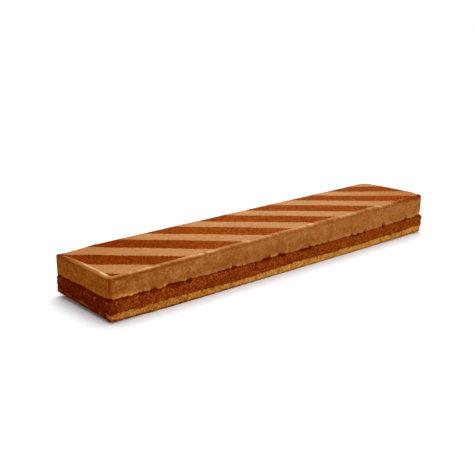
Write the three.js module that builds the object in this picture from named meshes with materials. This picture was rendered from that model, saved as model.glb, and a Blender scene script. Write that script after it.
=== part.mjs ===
import * as THREE from 'three';
import { ImprovedNoise } from 'three/addons/math/ImprovedNoise.js';

// A chocolate crunch strip cake, cut straight on all sides. From below: a thin sponge, a dark
// crunch layer, a thick mousse layer with a raised rim, and slanted stripes of cocoa powder.
// Millimetres, +Z up. The origin is the middle of the underside, and -Y is the long front side.
// The cake is lower at its left end, -X, because the mousse is thinner there.

// Driving dimensions. The top's back edge rises a little towards its left end, and the mousse
// stands back from the crunch at the right end.
const LENGTH = 391;
const WIDTH = 80;
const HEIGHT_LEFT = 35.9;
const HEIGHT_RIGHT = 41.5;
const BACK_RISE = 1.1;
const SPONGE_TOP = 6.3;
const CRUNCH_TOP = 17.8;
const SEAM = 0.25;
const MOUSSE_SETBACK = 1.5;

// Both ends of the base are bent up: how far, and over which stretch of the length. The back
// left corner of the underside is worn away besides.
const END_LIFTS = { left: 1.1, leftLength: 60, right: 0.9, rightLength: 95 };
const WORN_CORNER = { lift: 1.2, length: 30 };

// Radius of each upright corner, seen from above
const CORNERS = {
  frontRight: 1.6,
  backRight: 7,
  backLeft: 1,
  frontLeft: 1.4,
};
const LEAST_RADIUS = 0.4;

// The raised rim: its width on each side, and how far it stands above the powdered surface.
// On the front side it narrows to the width frontEnd over the last stretch before the right end.
const RIM_WIDTH = { front: 5.2, frontEnd: 2.2, right: 1.8, back: 1.2, left: 5 };
const RIM_RISE = 0.5;
const RIM_FADE_LENGTH = 70;
const CORNER_SAG = 0.8;
const CORNER_SAG_LENGTH = 24;

// Stripes of cocoa powder, which run at 45 degrees across the top. The first one only shows
// as a sliver in the front left corner.
const STRIPE_COUNT = 8;
const STRIPE_PERIOD = 60;
const STRIPE_WIDTH = 32;
const SLIVER_WIDTH = 29.4;
const FIRST_STRIPE = -11.4;
const POWDER_THICK = 0.3;
const POWDER_CLEAR = 0.1;
const STRIPE_WOBBLE = 0.35;
const STRIPE_NARROWEST = 1.4;
const STRIPE_CLEAR = 0.4;

// Places where the mousse has broken away above the crunch, measured from the left end
const TEARS = [
  { at: 27, span: 7, lift: 1.2 },
  { at: 40, span: 9, lift: 2.2 },
  { at: 54.5, span: 10, lift: 1.4 },
  { at: 73.5, span: 8, lift: 2.4 },
  { at: 122, span: 8, lift: 1.3 },
  { at: 162, span: 11, lift: 2.2 },
  { at: 181, span: 12, lift: 1.6 },
  { at: 217.5, span: 8, lift: 1.4 },
  { at: 324, span: 5, lift: 1.2 },
  { at: 363.5, span: 10, lift: 1.2 },
];
const RAGGED_LIFT = 1.6;
const TONGUE_DEPTH = 1.2;

// How deep the cut faces are broken up
const SPONGE_CRUMB = 0.4;
const CRUNCH_CRUMB = 0.8;
const MOUSSE_WAVE = 0.3;
const MOUSSE_FOOT = 0.9;
const BASE_CHAMFER = 0.5;
const EDGE_STRIP = 5;

// Uneven surfaces: how far apart their bumps are, and a number that makes each one different
const TEXTURES = {
  spongeCrumb: { size: 7, seed: 3.1 },
  spongeFoot: { size: 16, seed: 5.7 },
  crunchCrumb: { size: 5, seed: 21.3 },
  tongue: { size: 14, seed: 8.3 },
  ragged: { size: 11, seed: 12.9 },
  mousseFoot: { size: 20, seed: 1.7 },
  mousseWave: { size: 18, seed: 30.2 },
  stripeEdge: { size: 8, seed: 41 },
};

// Levels of a layer's rings, as shares of its height, from below
const SPONGE_LEVELS = [0.2, 0.6];
const CRUNCH_LEVELS = [0.25, 0.5, 0.75, 0.93];
const MOUSSE_LEVELS = [0.2, 0.6];

// Section of the rim from the cut face inwards: share of its width, drop below the cake's
// nominal height, and the part that it takes in the sag of the corner
const GROOVE = { depth: 0.35, drop: 2.1 };
const RIM_SECTION = [
  { share: 0, drop: 0.8, sag: 1 },
  { share: 0.14, drop: 0.2, sag: 0.9 },
  { share: 0.4, drop: 0, sag: 0.6 },
  { share: 0.8, drop: 0.3, sag: 0.15 },
  { share: 1, drop: RIM_RISE, sag: 0 },
];

// How finely the outline is divided
const LONG_SIDE_STEPS = 82;
const SHORT_SIDE_STEPS = 16;
const CORNER_STEPS = 3;
const STRIPE_STEP = 7.5;
const STRIPE_CROSS_STEPS = 2;

const FINISHES = {
  sponge: { color: 0xb1722e, roughness: 0.9, metalness: 0 },
  crunch: { color: 0x7c350b, roughness: 0.8, metalness: 0 },
  mousse: { color: 0xa0612e, roughness: 0.55, metalness: 0 },
  cocoa: { color: 0x9a4817, roughness: 1, metalness: 0 },
};

const perlin = new ImprovedNoise();

// Smooth noise from about -1 to 1 at a point and a height
function bumps(point, z, { size, seed }) {
  const gain = 1.6;
  return gain * perlin.noise(point.x / size + seed, point.y / size + 0.5, z / size + 0.37 * seed);
}

const fromLeft = (point) => point.x + LENGTH / 2;
const fromRight = (point) => LENGTH / 2 - point.x;
const acrossShare = (point) => THREE.MathUtils.clamp(point.y / WIDTH + 0.5, 0, 1);

// Goes from 1 at an end of the cake to 0 at a distance from it
const fadeOut = (distance, length) => 1 - THREE.MathUtils.smoothstep(distance, 0, length);

// Nominal height of the top at a point
function topHeight(point) {
  const along = fromLeft(point) / LENGTH;
  const level = THREE.MathUtils.lerp(HEIGHT_LEFT, HEIGHT_RIGHT, along);
  return level + BACK_RISE * acrossShare(point) * (1 - along);
}

// How far the layers' edges are lifted near the ends
function endLift(point) {
  const { left, leftLength, right, rightLength } = END_LIFTS;
  return left * fadeOut(fromLeft(point), leftLength) + right * fadeOut(fromRight(point), rightLength);
}

// Places round the outline, counter-clockwise seen from above: first each corner's arc, then
// the straight side that follows it. All rings have a point at each place.
const CORNER_SIGNS = [
  { x: 1, y: -1, radius: CORNERS.frontRight, steps: SHORT_SIDE_STEPS },
  { x: 1, y: 1, radius: CORNERS.backRight, steps: LONG_SIDE_STEPS },
  { x: -1, y: 1, radius: CORNERS.backLeft, steps: SHORT_SIDE_STEPS },
  { x: -1, y: -1, radius: CORNERS.frontLeft, steps: LONG_SIDE_STEPS },
];

function outlinePlaces() {
  const places = [];
  CORNER_SIGNS.forEach((corner, index) => {
    for (let step = 0; step <= CORNER_STEPS; step += 1) {
      places.push({ index, turn: step / CORNER_STEPS, along: 0 });
    }
    for (let step = 1; step < corner.steps; step += 1) {
      places.push({ index, turn: 1, along: step / corner.steps });
    }
  });
  return places;
}

// How far the front rim has narrowed at a share of the length: 0 for most of it, 1 at the end
const rimFade = (along) => THREE.MathUtils.smoothstep(along, 1 - RIM_FADE_LENGTH / LENGTH, 1);

// A point on a corner's arc, with its outward direction. Margins move each side inwards.
function cornerPoint(index, turn, margins) {
  const corner = CORNER_SIGNS[index];
  const marginX = corner.x > 0 ? margins.right : margins.left;
  const frontMargin = corner.x > 0 ? margins.frontEnd : margins.front;
  const marginY = corner.y > 0 ? margins.back : frontMargin;
  const radius = Math.max(corner.radius - Math.min(marginX, marginY), LEAST_RADIUS);
  const angle = (index - 1 + turn) * Math.PI / 2;
  const out = new THREE.Vector2(Math.cos(angle), Math.sin(angle));
  const point = new THREE.Vector2(
    corner.x * (LENGTH / 2 - marginX - radius) + radius * out.x,
    corner.y * (WIDTH / 2 - marginY - radius) + radius * out.y,
  );
  return { point, out };
}

function outlinePoint(place, margins) {
  const start = cornerPoint(place.index, place.turn, margins);
  if (place.along === 0) {
    return start;
  }
  const end = cornerPoint((place.index + 1) % CORNER_SIGNS.length, 0, margins);
  const onFront = place.index === CORNER_SIGNS.length - 1;
  const point = new THREE.Vector2(
    THREE.MathUtils.lerp(start.point.x, end.point.x, place.along),
    THREE.MathUtils.lerp(start.point.y, end.point.y, onFront ? rimFade(place.along) : place.along),
  );
  return { point, out: start.out };
}

// Margins of a ring: how far it lies inside the cake's outline, side by side
const marginsFrom = (marginOf) => Object.fromEntries(
  Object.entries(RIM_WIDTH).map(([side, width]) => [side, marginOf(width)]),
);
const evenMargin = (margin) => marginsFrom(() => margin);

// Margins of a ring of the mousse at a share of the rim's width
function mousseMargins(share) {
  const margins = marginsFrom((width) => share * width);
  return { ...margins, right: margins.right + MOUSSE_SETBACK };
}

// One ring of a layer. heightOf gives z at a point, and insetOf how far it lies behind the
// straight cut there.
function ring(margins, heightOf, insetOf = () => 0) {
  return outlinePlaces().map((place) => {
    const { point, out } = outlinePoint(place, margins);
    const inset = insetOf(point);
    return new THREE.Vector3(point.x - inset * out.x, point.y - inset * out.y, heightOf(point));
  });
}

// Faces that close a ring, counter-clockwise seen from above: crosswise strips between the
// front and the back side, and one block at each end
function capFaces(cap) {
  const backStart = SHORT_SIDE_STEPS + 2 * CORNER_STEPS;
  const backEnd = backStart + LONG_SIDE_STEPS;
  const frontStart = backEnd + backStart;
  const endBlock = (start) => {
    const corners = cap.slice(start, start + backStart + 1);
    const outline = corners.map((point) => new THREE.Vector2(point.x, point.y));
    return THREE.ShapeUtils.triangulateShape(outline, [])
      .map((face) => face.map((corner) => corner + start));
  };
  const faces = [...endBlock(0), ...endBlock(backEnd)];
  for (let step = 0; step < LONG_SIDE_STEPS; step += 1) {
    const [a, b] = [frontStart + step, (frontStart + step + 1) % cap.length];
    const [c, d] = [backEnd - step - 1, backEnd - step];
    faces.push([a, b, c], [a, c, d]);
  }
  return faces;
}

// A closed solid through a stack of rings, with a cap at each end. Each four-sided patch is
// split along its shorter diagonal, so that the two faces of a seam are split alike.
function loft(rings) {
  const count = rings[0].length;
  const points = rings.flat();
  const positions = points.flatMap((point) => [point.x, point.y, point.z]);
  const faces = [];
  for (let lower = 0; lower < points.length - count; lower += count) {
    for (let step = 0; step < count; step += 1) {
      const next = (step + 1) % count;
      const [a, b, c, d] = [lower + step, lower + next, lower + count + next, lower + count + step];
      if (points[a].distanceTo(points[c]) < points[b].distanceTo(points[d])) {
        faces.push(a, b, c, a, c, d);
      } else {
        faces.push(a, b, d, b, c, d);
      }
    }
  }
  const last = points.length - count;
  capFaces(rings[0]).forEach(([a, b, c]) => faces.push(c, b, a));
  capFaces(rings.at(-1)).forEach(([a, b, c]) => faces.push(last + a, last + b, last + c));
  return closedGeometry(positions, faces);
}

function closedGeometry(positions, faces) {
  const geometry = new THREE.BufferGeometry();
  geometry.setAttribute('position', new THREE.Float32BufferAttribute(positions, 3));
  geometry.setIndex(faces);
  geometry.computeVertexNormals();
  return geometry;
}

const level = (z) => () => z;
const spongeCrumb = (z) => (point) => SPONGE_CRUMB * Math.abs(bumps(point, z, TEXTURES.spongeCrumb));

// The seam between sponge and crunch: a strip along the edge, which both layers share
function spongeSeam() {
  return [
    ring(evenMargin(0), (point) => SPONGE_TOP + endLift(point), spongeCrumb(SPONGE_TOP)),
    ring(evenMargin(EDGE_STRIP), level(SPONGE_TOP)),
  ];
}

// Height of the sponge's lower edge
function baseLift(point) {
  const worn = WORN_CORNER.lift * acrossShare(point) * fadeOut(fromLeft(point), WORN_CORNER.length);
  return endLift(point) + worn;
}

// Sponge: a thin plate with crumbs broken out of its sides and out of its lower edge
function spongeGeometry() {
  const footInset = (point) => (
    BASE_CHAMFER * (0.6 + 0.5 * Math.abs(bumps(point, 0, TEXTURES.spongeFoot)))
  );
  const bandAt = (share) => ring(
    evenMargin(0),
    (point) => THREE.MathUtils.lerp(baseLift(point), SPONGE_TOP + endLift(point), share),
    spongeCrumb(share * SPONGE_TOP),
  );
  return loft([
    ring(evenMargin(EDGE_STRIP), level(0)),
    ring(evenMargin(0), baseLift, footInset),
    ...SPONGE_LEVELS.map(bandAt),
    ...spongeSeam(),
  ]);
}

// Lower edge of the mousse seen from the side: how far it hangs over the crunch at a point
function tongueAt(point) {
  return TONGUE_DEPTH * Math.max(0, bumps(point, 0, TEXTURES.tongue) - 0.1);
}

// How far the mousse has broken away above the crunch at a point of the outline
function tearAt(point) {
  if (point.y > -WIDTH / 2 + EDGE_STRIP) {
    return RAGGED_LIFT * Math.max(0, bumps(point, 0, TEXTURES.ragged) - 0.15);
  }
  return TEARS.reduce((lift, tear) => {
    const off = (fromLeft(point) - tear.at) / (tear.span / 2);
    return Math.max(lift, tear.lift * (1 - off * off));
  }, 0);
}

const mousseFoot = (point) => MOUSSE_FOOT * (0.7 + 0.3 * bumps(point, 0, TEXTURES.mousseFoot));
const crunchEdge = (point) => CRUNCH_TOP + endLift(point) - tongueAt(point);

// Crunch: a granular layer. Its upper edge dips where a tongue of mousse hangs over it.
function crunchGeometry() {
  const bandAt = (share) => ring(
    evenMargin(0),
    (point) => THREE.MathUtils.lerp(SPONGE_TOP + endLift(point), crunchEdge(point), share),
    (point) => CRUNCH_CRUMB * Math.max(
      0,
      bumps(point, share * CRUNCH_TOP, TEXTURES.crunchCrumb) - 0.1,
    ),
  );
  return loft([
    ...spongeSeam().reverse(),
    ...CRUNCH_LEVELS.map(bandAt),
    ring(mousseMargins(0), crunchEdge, mousseFoot),
    ring(evenMargin(EDGE_STRIP), level(CRUNCH_TOP)),
  ]);
}

// The rim sags at the back left corner
function cornerSag(point) {
  const atBack = THREE.MathUtils.smoothstep(point.y, WIDTH / 4, WIDTH / 2 - RIM_WIDTH.left);
  return CORNER_SAG * atBack * fadeOut(fromLeft(point), CORNER_SAG_LENGTH);
}

function rimRing({ share, drop, sag }) {
  return ring(
    mousseMargins(share),
    (point) => topHeight(point) - drop - sag * cornerSag(point),
  );
}

// Mousse: recessed a little at its foot, with a groove under the lip of the rim
function mousseGeometry() {
  const footHeight = (point) => crunchEdge(point) + SEAM + tearAt(point);
  const grooveHeight = (point) => topHeight(point) - GROOVE.drop - cornerSag(point);
  const wallAt = (share) => ring(
    mousseMargins(0),
    (point) => THREE.MathUtils.lerp(footHeight(point), grooveHeight(point), share),
    (point) => MOUSSE_WAVE * Math.abs(bumps(point, share * HEIGHT_LEFT, TEXTURES.mousseWave)),
  );
  return loft([
    ring(evenMargin(EDGE_STRIP), level(CRUNCH_TOP + SEAM)),
    ring(mousseMargins(0), footHeight, mousseFoot),
    ...MOUSSE_LEVELS.map(wallAt),
    ring(mousseMargins(0), grooveHeight, () => GROOVE.depth),
    ...RIM_SECTION.map(rimRing),
  ]);
}

// Surface of one cocoa stripe, as a function of two parameters: across is the distance from
// the stripe's left edge along the front side, and share runs from its front end to its back.
// Each line across = constant goes back and to the left at 45 degrees, and is cut off by the
// rim and by the ends of the cake.
function stripeSurface(start, width) {
  const leftEnd = RIM_WIDTH.left + STRIPE_CLEAR;
  const rightEnd = LENGTH - MOUSSE_SETBACK - RIM_WIDTH.right - STRIPE_CLEAR;
  const backEnd = WIDTH - RIM_WIDTH.back - STRIPE_CLEAR;
  const narrowest = leftEnd + RIM_WIDTH.front - start + STRIPE_NARROWEST;
  const widest = rightEnd + backEnd - start - STRIPE_NARROWEST;
  const acrossFrom = Math.max(0, narrowest);
  const acrossTo = Math.min(width, widest);
  return (crossShare, share) => {
    const across = THREE.MathUtils.lerp(acrossFrom, acrossTo, crossShare);
    const front = start + across;
    const fade = rimFade(Math.min(front / LENGTH, 1));
    const frontRim = THREE.MathUtils.lerp(RIM_WIDTH.front, RIM_WIDTH.frontEnd, fade);
    const from = Math.max(frontRim + STRIPE_CLEAR, front - rightEnd);
    const to = Math.min(backEnd, front - leftEnd);
    const back = THREE.MathUtils.lerp(from, to, share);
    const ends = Math.sin(Math.PI * share);
    const wobble = STRIPE_WOBBLE * ends * bumps({ x: front, y: back }, 0, TEXTURES.stripeEdge);
    return new THREE.Vector2(front - back + wobble - LENGTH / 2, back - WIDTH / 2);
  };
}

// A thin slab of powder: the stripe's surface laid on the mousse, twice, joined all round
function stripeGeometry(start, width) {
  const surface = stripeSurface(start, width);
  const lengths = [0, 1].map((cross) => surface(cross, 0).distanceTo(surface(cross, 1)));
  const longSteps = Math.max(2, Math.round(Math.max(...lengths) / STRIPE_STEP));
  const rows = longSteps + 1;
  const columns = STRIPE_CROSS_STEPS + 1;
  const positions = [];
  for (const lift of [POWDER_CLEAR, POWDER_CLEAR + POWDER_THICK]) {
    for (let row = 0; row < rows; row += 1) {
      for (let column = 0; column < columns; column += 1) {
        const point = surface(column / STRIPE_CROSS_STEPS, row / longSteps);
        positions.push(point.x, point.y, topHeight(point) - RIM_RISE + lift);
      }
    }
  }
  const at = (row, column) => row * columns + column;
  const upper = rows * columns;
  const faces = [];
  for (let row = 0; row < longSteps; row += 1) {
    for (let column = 0; column < STRIPE_CROSS_STEPS; column += 1) {
      const [a, b] = [at(row, column), at(row, column + 1)];
      const [c, d] = [at(row + 1, column + 1), at(row + 1, column)];
      faces.push(upper + a, upper + b, upper + c, upper + a, upper + c, upper + d);
      faces.push(a, c, b, a, d, c);
    }
  }
  const wall = (from, to) => {
    faces.push(from, to, upper + to, from, upper + to, upper + from);
  };
  for (let column = 0; column < STRIPE_CROSS_STEPS; column += 1) {
    wall(at(0, column), at(0, column + 1));
    wall(at(longSteps, column + 1), at(longSteps, column));
  }
  for (let row = 0; row < longSteps; row += 1) {
    wall(at(row, STRIPE_CROSS_STEPS), at(row + 1, STRIPE_CROSS_STEPS));
    wall(at(row + 1, 0), at(row, 0));
  }
  return closedGeometry(positions, faces);
}

function piece(name, geometry, finish) {
  const mesh = new THREE.Mesh(geometry, new THREE.MeshStandardMaterial(finish));
  mesh.name = name;
  return mesh;
}

const cake = new THREE.Group();
cake.add(piece('sponge_base', spongeGeometry(), FINISHES.sponge));
cake.add(piece('crunch_layer', crunchGeometry(), FINISHES.crunch));
cake.add(piece('mousse_layer', mousseGeometry(), FINISHES.mousse));
for (let index = 0; index < STRIPE_COUNT; index += 1) {
  const start = FIRST_STRIPE + index * STRIPE_PERIOD;
  const width = index === 0 ? SLIVER_WIDTH : STRIPE_WIDTH;
  cake.add(piece(`cocoa_stripe_${index}`, stripeGeometry(start, width), FINISHES.cocoa));
}

export default cake;
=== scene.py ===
"""Looks of a chocolate crunch strip cake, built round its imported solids.

Shapes are worked out in millimetres in the row frame and put into meshes in metres. The sponge,
the crunch and the mousse are each one closed surface: rings that follow the cake's outline,
stacked from its underside to its top, with relief that pushes each point in or out along the
outline's normal. The cocoa stripes are granular slabs, and chips, crumbs and grains are
scattered as joined meshes.
"""

import logging
import math
from collections.abc import Callable
from dataclasses import dataclass, field
from enum import Enum
from itertools import combinations

import bpy
import numpy as np
from mathutils import Matrix, Vector


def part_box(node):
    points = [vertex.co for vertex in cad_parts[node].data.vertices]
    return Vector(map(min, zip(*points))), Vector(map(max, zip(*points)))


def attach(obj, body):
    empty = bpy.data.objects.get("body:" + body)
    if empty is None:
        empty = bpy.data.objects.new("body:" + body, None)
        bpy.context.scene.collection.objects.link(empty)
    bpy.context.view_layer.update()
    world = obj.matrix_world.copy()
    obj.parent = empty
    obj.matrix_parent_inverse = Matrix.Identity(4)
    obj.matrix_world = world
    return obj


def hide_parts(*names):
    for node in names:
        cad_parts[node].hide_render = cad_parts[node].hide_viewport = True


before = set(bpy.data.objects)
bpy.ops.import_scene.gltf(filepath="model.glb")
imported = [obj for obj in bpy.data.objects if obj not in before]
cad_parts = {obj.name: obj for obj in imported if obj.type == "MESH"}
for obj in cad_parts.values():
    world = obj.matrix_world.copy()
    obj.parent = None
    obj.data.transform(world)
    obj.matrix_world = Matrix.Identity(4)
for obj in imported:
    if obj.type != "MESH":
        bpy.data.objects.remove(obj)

LOG = logging.getLogger("cake")
MM = 0.001
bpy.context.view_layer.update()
ROOT = "root"
AXIS_PRIMES = (73856093, 19349663, 83492791)
SEED_PRIME = 2654435761
MIX_FACTOR = 1274126177
LARGEST = 0xFFFFFF
Array = np.ndarray


# Noise for whole arrays


def lattice(cells: Array, seed: int) -> Array:
    """Gives each whole-number cell a random number from 0 to 1.

    The three coordinates are multiplied by large primes, joined by exclusive or, and mixed by
    a shift, a product and a second shift.

    Args:
        cells: Integer cell coordinates, with 3 in the last dimension.
        seed: Which of the random fields to read.

    Returns:
        One number for each cell.
    """
    mixed = seed * SEED_PRIME
    for axis, prime in enumerate(AXIS_PRIMES):
        mixed = mixed ^ (cells[..., axis] * prime)
    mixed = (mixed ^ (mixed >> 13)) * MIX_FACTOR
    return ((mixed ^ (mixed >> 16)) & LARGEST) / LARGEST


def noise(points: Array, size: float | tuple, seed: int) -> Array:
    """Smooth noise from -1 to 1.

    Each point lies in a cell of the given size. The random numbers of the cell's eight corners
    are blended with weights that follow 3t^2 - 2t^3 in each direction.

    Args:
        points: Places in millimetres, with 3 in the last dimension.
        size: Distance between bumps, one number or one for each direction.
        seed: Which of the random fields to read.

    Returns:
        One number for each point.
    """
    scaled = points / np.asarray(size, float)
    cells = np.floor(scaled).astype(np.int64)
    weight = scaled - cells
    weight = weight * weight * (3 - 2 * weight)
    total = np.zeros(points.shape[:-1])
    for corner in np.ndindex(2, 2, 2):
        share = np.where(np.array(corner) == 1, weight, 1 - weight).prod(-1)
        total += share * lattice(cells + np.array(corner), seed)
    return 2 * total - 1


def fractal(points: Array, size: float | tuple, octaves: int, seed: int) -> Array:
    """Mean of noise fields, each half as large and half as strong as the one before.

    Args:
        points: Places in millimetres, with 3 in the last dimension.
        size: Distance between the largest bumps, one number or one for each direction.
        octaves: How many fields there are.
        seed: The first field's seed. The others follow it.

    Returns:
        One number from -1 to 1 for each point.
    """
    halves = 0.5 ** np.arange(octaves)
    fields = ((half, np.asarray(size) * half, seed + k) for k, half in enumerate(halves))
    return waves(points, *fields) / halves.sum()


def waves(points: Array, *fields: tuple) -> Array:
    """Sum of noise fields, each given by its strength, its size and its seed."""
    return sum(strength * noise(points, size, seed) for strength, size, seed in fields)


def granules(points: Array, size: float, seed: int) -> tuple[Array, Array]:
    """Splits space into grains round random centres.

    Each cell of the given size holds one centre, moved at random inside it. A point belongs to
    the nearest centre of its own cell and the 26 round it.

    Args:
        points: Places in millimetres, with 3 in the last dimension.
        size: Mean distance between centres.
        seed: Which of the random fields to read.

    Returns:
        The distance to the nearest centre, in sizes, and that grain's random number.
    """
    scaled = points / size
    cells = np.floor(scaled).astype(np.int64)
    nearest = np.full(points.shape[:-1], np.inf)
    tone = np.zeros(points.shape[:-1])
    for offset in np.ndindex(3, 3, 3):
        cell = cells + np.array(offset) - 1
        centre = cell + np.stack([lattice(cell, seed + k) for k in range(3)], -1)
        distance = np.linalg.norm(scaled - centre, axis=-1)
        closer = distance < nearest
        nearest = np.where(closer, distance, nearest)
        tone = np.where(closer, lattice(cell, seed + 3), tone)
    return nearest, tone


def smooth(value: Array, low: float, high: float) -> Array:
    """Goes from 0 at low to 1 at high along 3t^2 - 2t^3."""
    t = np.clip((value - low) / (high - low), 0, 1)
    return t * t * (3 - 2 * t)


def fall(value: Array, low: float, high: float) -> Array:
    """Goes from 1 at low to 0 at high, the reverse of smooth."""
    return 1 - smooth(value, low, high)


def hump(value: Array, middle: float, width: float) -> Array:
    """Goes up to 1 at the middle and back to 0 like a bell, width wide on each side."""
    return np.exp(-(((value - middle) / width) ** 2))


def unit(value: Array) -> Array:
    """Keeps numbers between 0 and 1."""
    return np.clip(value, 0, 1)


# Outline and stacked rings


@dataclass(frozen=True)
class Margins:
    """How far a ring lies inside the cake's outline on each side, in millimetres.

    front_end is the margin that the front side has reached at its right end.
    """

    front: float = 0.0
    front_end: float = 0.0
    right: float = 0.0
    back: float = 0.0
    left: float = 0.0

    def changed(
        self, share: float = 1.0, more: float = 0.0, more_right: float = 0.0
    ) -> "Margins":
        """Makes wider or narrower margins.

        Args:
            share: What each margin is multiplied by.
            more: What is then added to each.
            more_right: What is added on the right as well.

        Returns:
            The new margins.
        """
        sides = {name: share * side + more for name, side in vars(self).items()}
        sides["right"] += more_right
        return Margins(**sides)


@dataclass(frozen=True)
class Outline:
    """The cake seen from above: a rectangle with four rounded corners.

    Places run counter-clockwise: each corner's arc, then the straight side after it, from the
    front right corner on.
    """

    length: float
    width: float
    radii: tuple = (1.6, 7.0, 1.0, 1.4)
    signs: tuple = ((1, -1), (1, 1), (-1, 1), (-1, -1))
    least_radius: float = 0.4
    corner_steps: int = 12
    fade_length: float = 70.0

    def places(self, step: float) -> Array:
        """Places about one step apart.

        Args:
            step: Distance along the outline, in millimetres.

        Returns:
            Rows of corner index, share of the corner's turn, and share of the side after it.
        """
        short = 2 * round(self.width / step / 2)
        long = 2 * round(self.length / step / 2)
        turn = np.arange(self.corner_steps + 1) / self.corner_steps
        blocks = []
        for index, steps in enumerate((short, long, short, long)):
            along = np.arange(1, steps) / steps
            blocks.append(np.column_stack([0 * turn + index, turn, 0 * turn]))
            blocks.append(np.column_stack([0 * along + index, 0 * along + 1, along]))
        return np.vstack(blocks)

    def fade(self, along: Array) -> Array:
        """How far the front margin has changed to its right end's value."""
        return smooth(along, 1 - self.fade_length / self.length, 1)

    def corner(self, index: Array, turn: Array, margins: Margins) -> tuple[Array, Array]:
        """Points on the corners' arcs.

        A point is the corner's centre plus its radius times the outward direction, which turns
        a quarter circle from one side to the next.

        Args:
            index: Which corner, for each place.
            turn: Share of the quarter turn, for each place.
            margins: How far the ring lies inside the outline.

        Returns:
            The points and the outward directions, two columns each.
        """
        sign = np.array(self.signs)[index]
        beside = np.array([margins.right, margins.right, margins.left, margins.left])[index]
        ahead = np.array([margins.front_end, margins.back, margins.back, margins.front])[index]
        margin = np.column_stack([beside, ahead])
        radius = np.array(self.radii)[index] - margin.min(1)
        radius = np.maximum(radius, self.least_radius)[:, None]
        angle = (index - 1 + turn) * math.pi / 2
        out = np.column_stack([np.cos(angle), np.sin(angle)])
        half = np.array([self.length, self.width]) / 2
        return sign * (half - margin - radius) + radius * out, out

    def ring(self, places: Array, margins: Margins = Margins()) -> tuple[Array, Array]:
        """Points of one ring, with their outward directions.

        Points of a straight side lie on the line between the two arcs beside it. On the front
        side, the distance from the edge follows the fade of its margin.

        Args:
            places: What Outline.places gives.
            margins: How far the ring lies inside the outline.

        Returns:
            The points and the outward directions, two columns each.
        """
        index, turn, along = places[:, 0].astype(int), places[:, 1], places[:, 2]
        start, out = self.corner(index, turn, margins)
        end, _ = self.corner((index + 1) % 4, 0 * turn, margins)
        x = start[:, 0] + (end[:, 0] - start[:, 0]) * along
        rise = np.where(index == 3, self.fade(along), along)
        y = start[:, 1] + (end[:, 1] - start[:, 1]) * rise
        on_side = along > 0
        return np.where(on_side[:, None], np.column_stack([x, y]), start), out


def lift(flat: Array, height: Array | float) -> Array:
    """Adds a height to points seen from above."""
    return np.concatenate([flat, np.broadcast_to(height, flat.shape[:-1])[..., None]], -1)


def pushed(points: Array, out: Array, inset: Array) -> Array:
    """Moves points inwards along their outward directions by inset millimetres."""
    flat = points[..., :2] - inset[..., None] * out
    return np.concatenate([flat, points[..., 2:]], -1)


def add_object(name: str, data: bpy.types.ID) -> bpy.types.Object:
    """Puts a mesh, a light or a camera into the scene as an object of its own.

    Args:
        name: The object's name.
        data: What it shows.

    Returns:
        The new object.
    """
    made = bpy.data.objects.new(name, data)
    bpy.context.scene.collection.objects.link(made)
    return made


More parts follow.
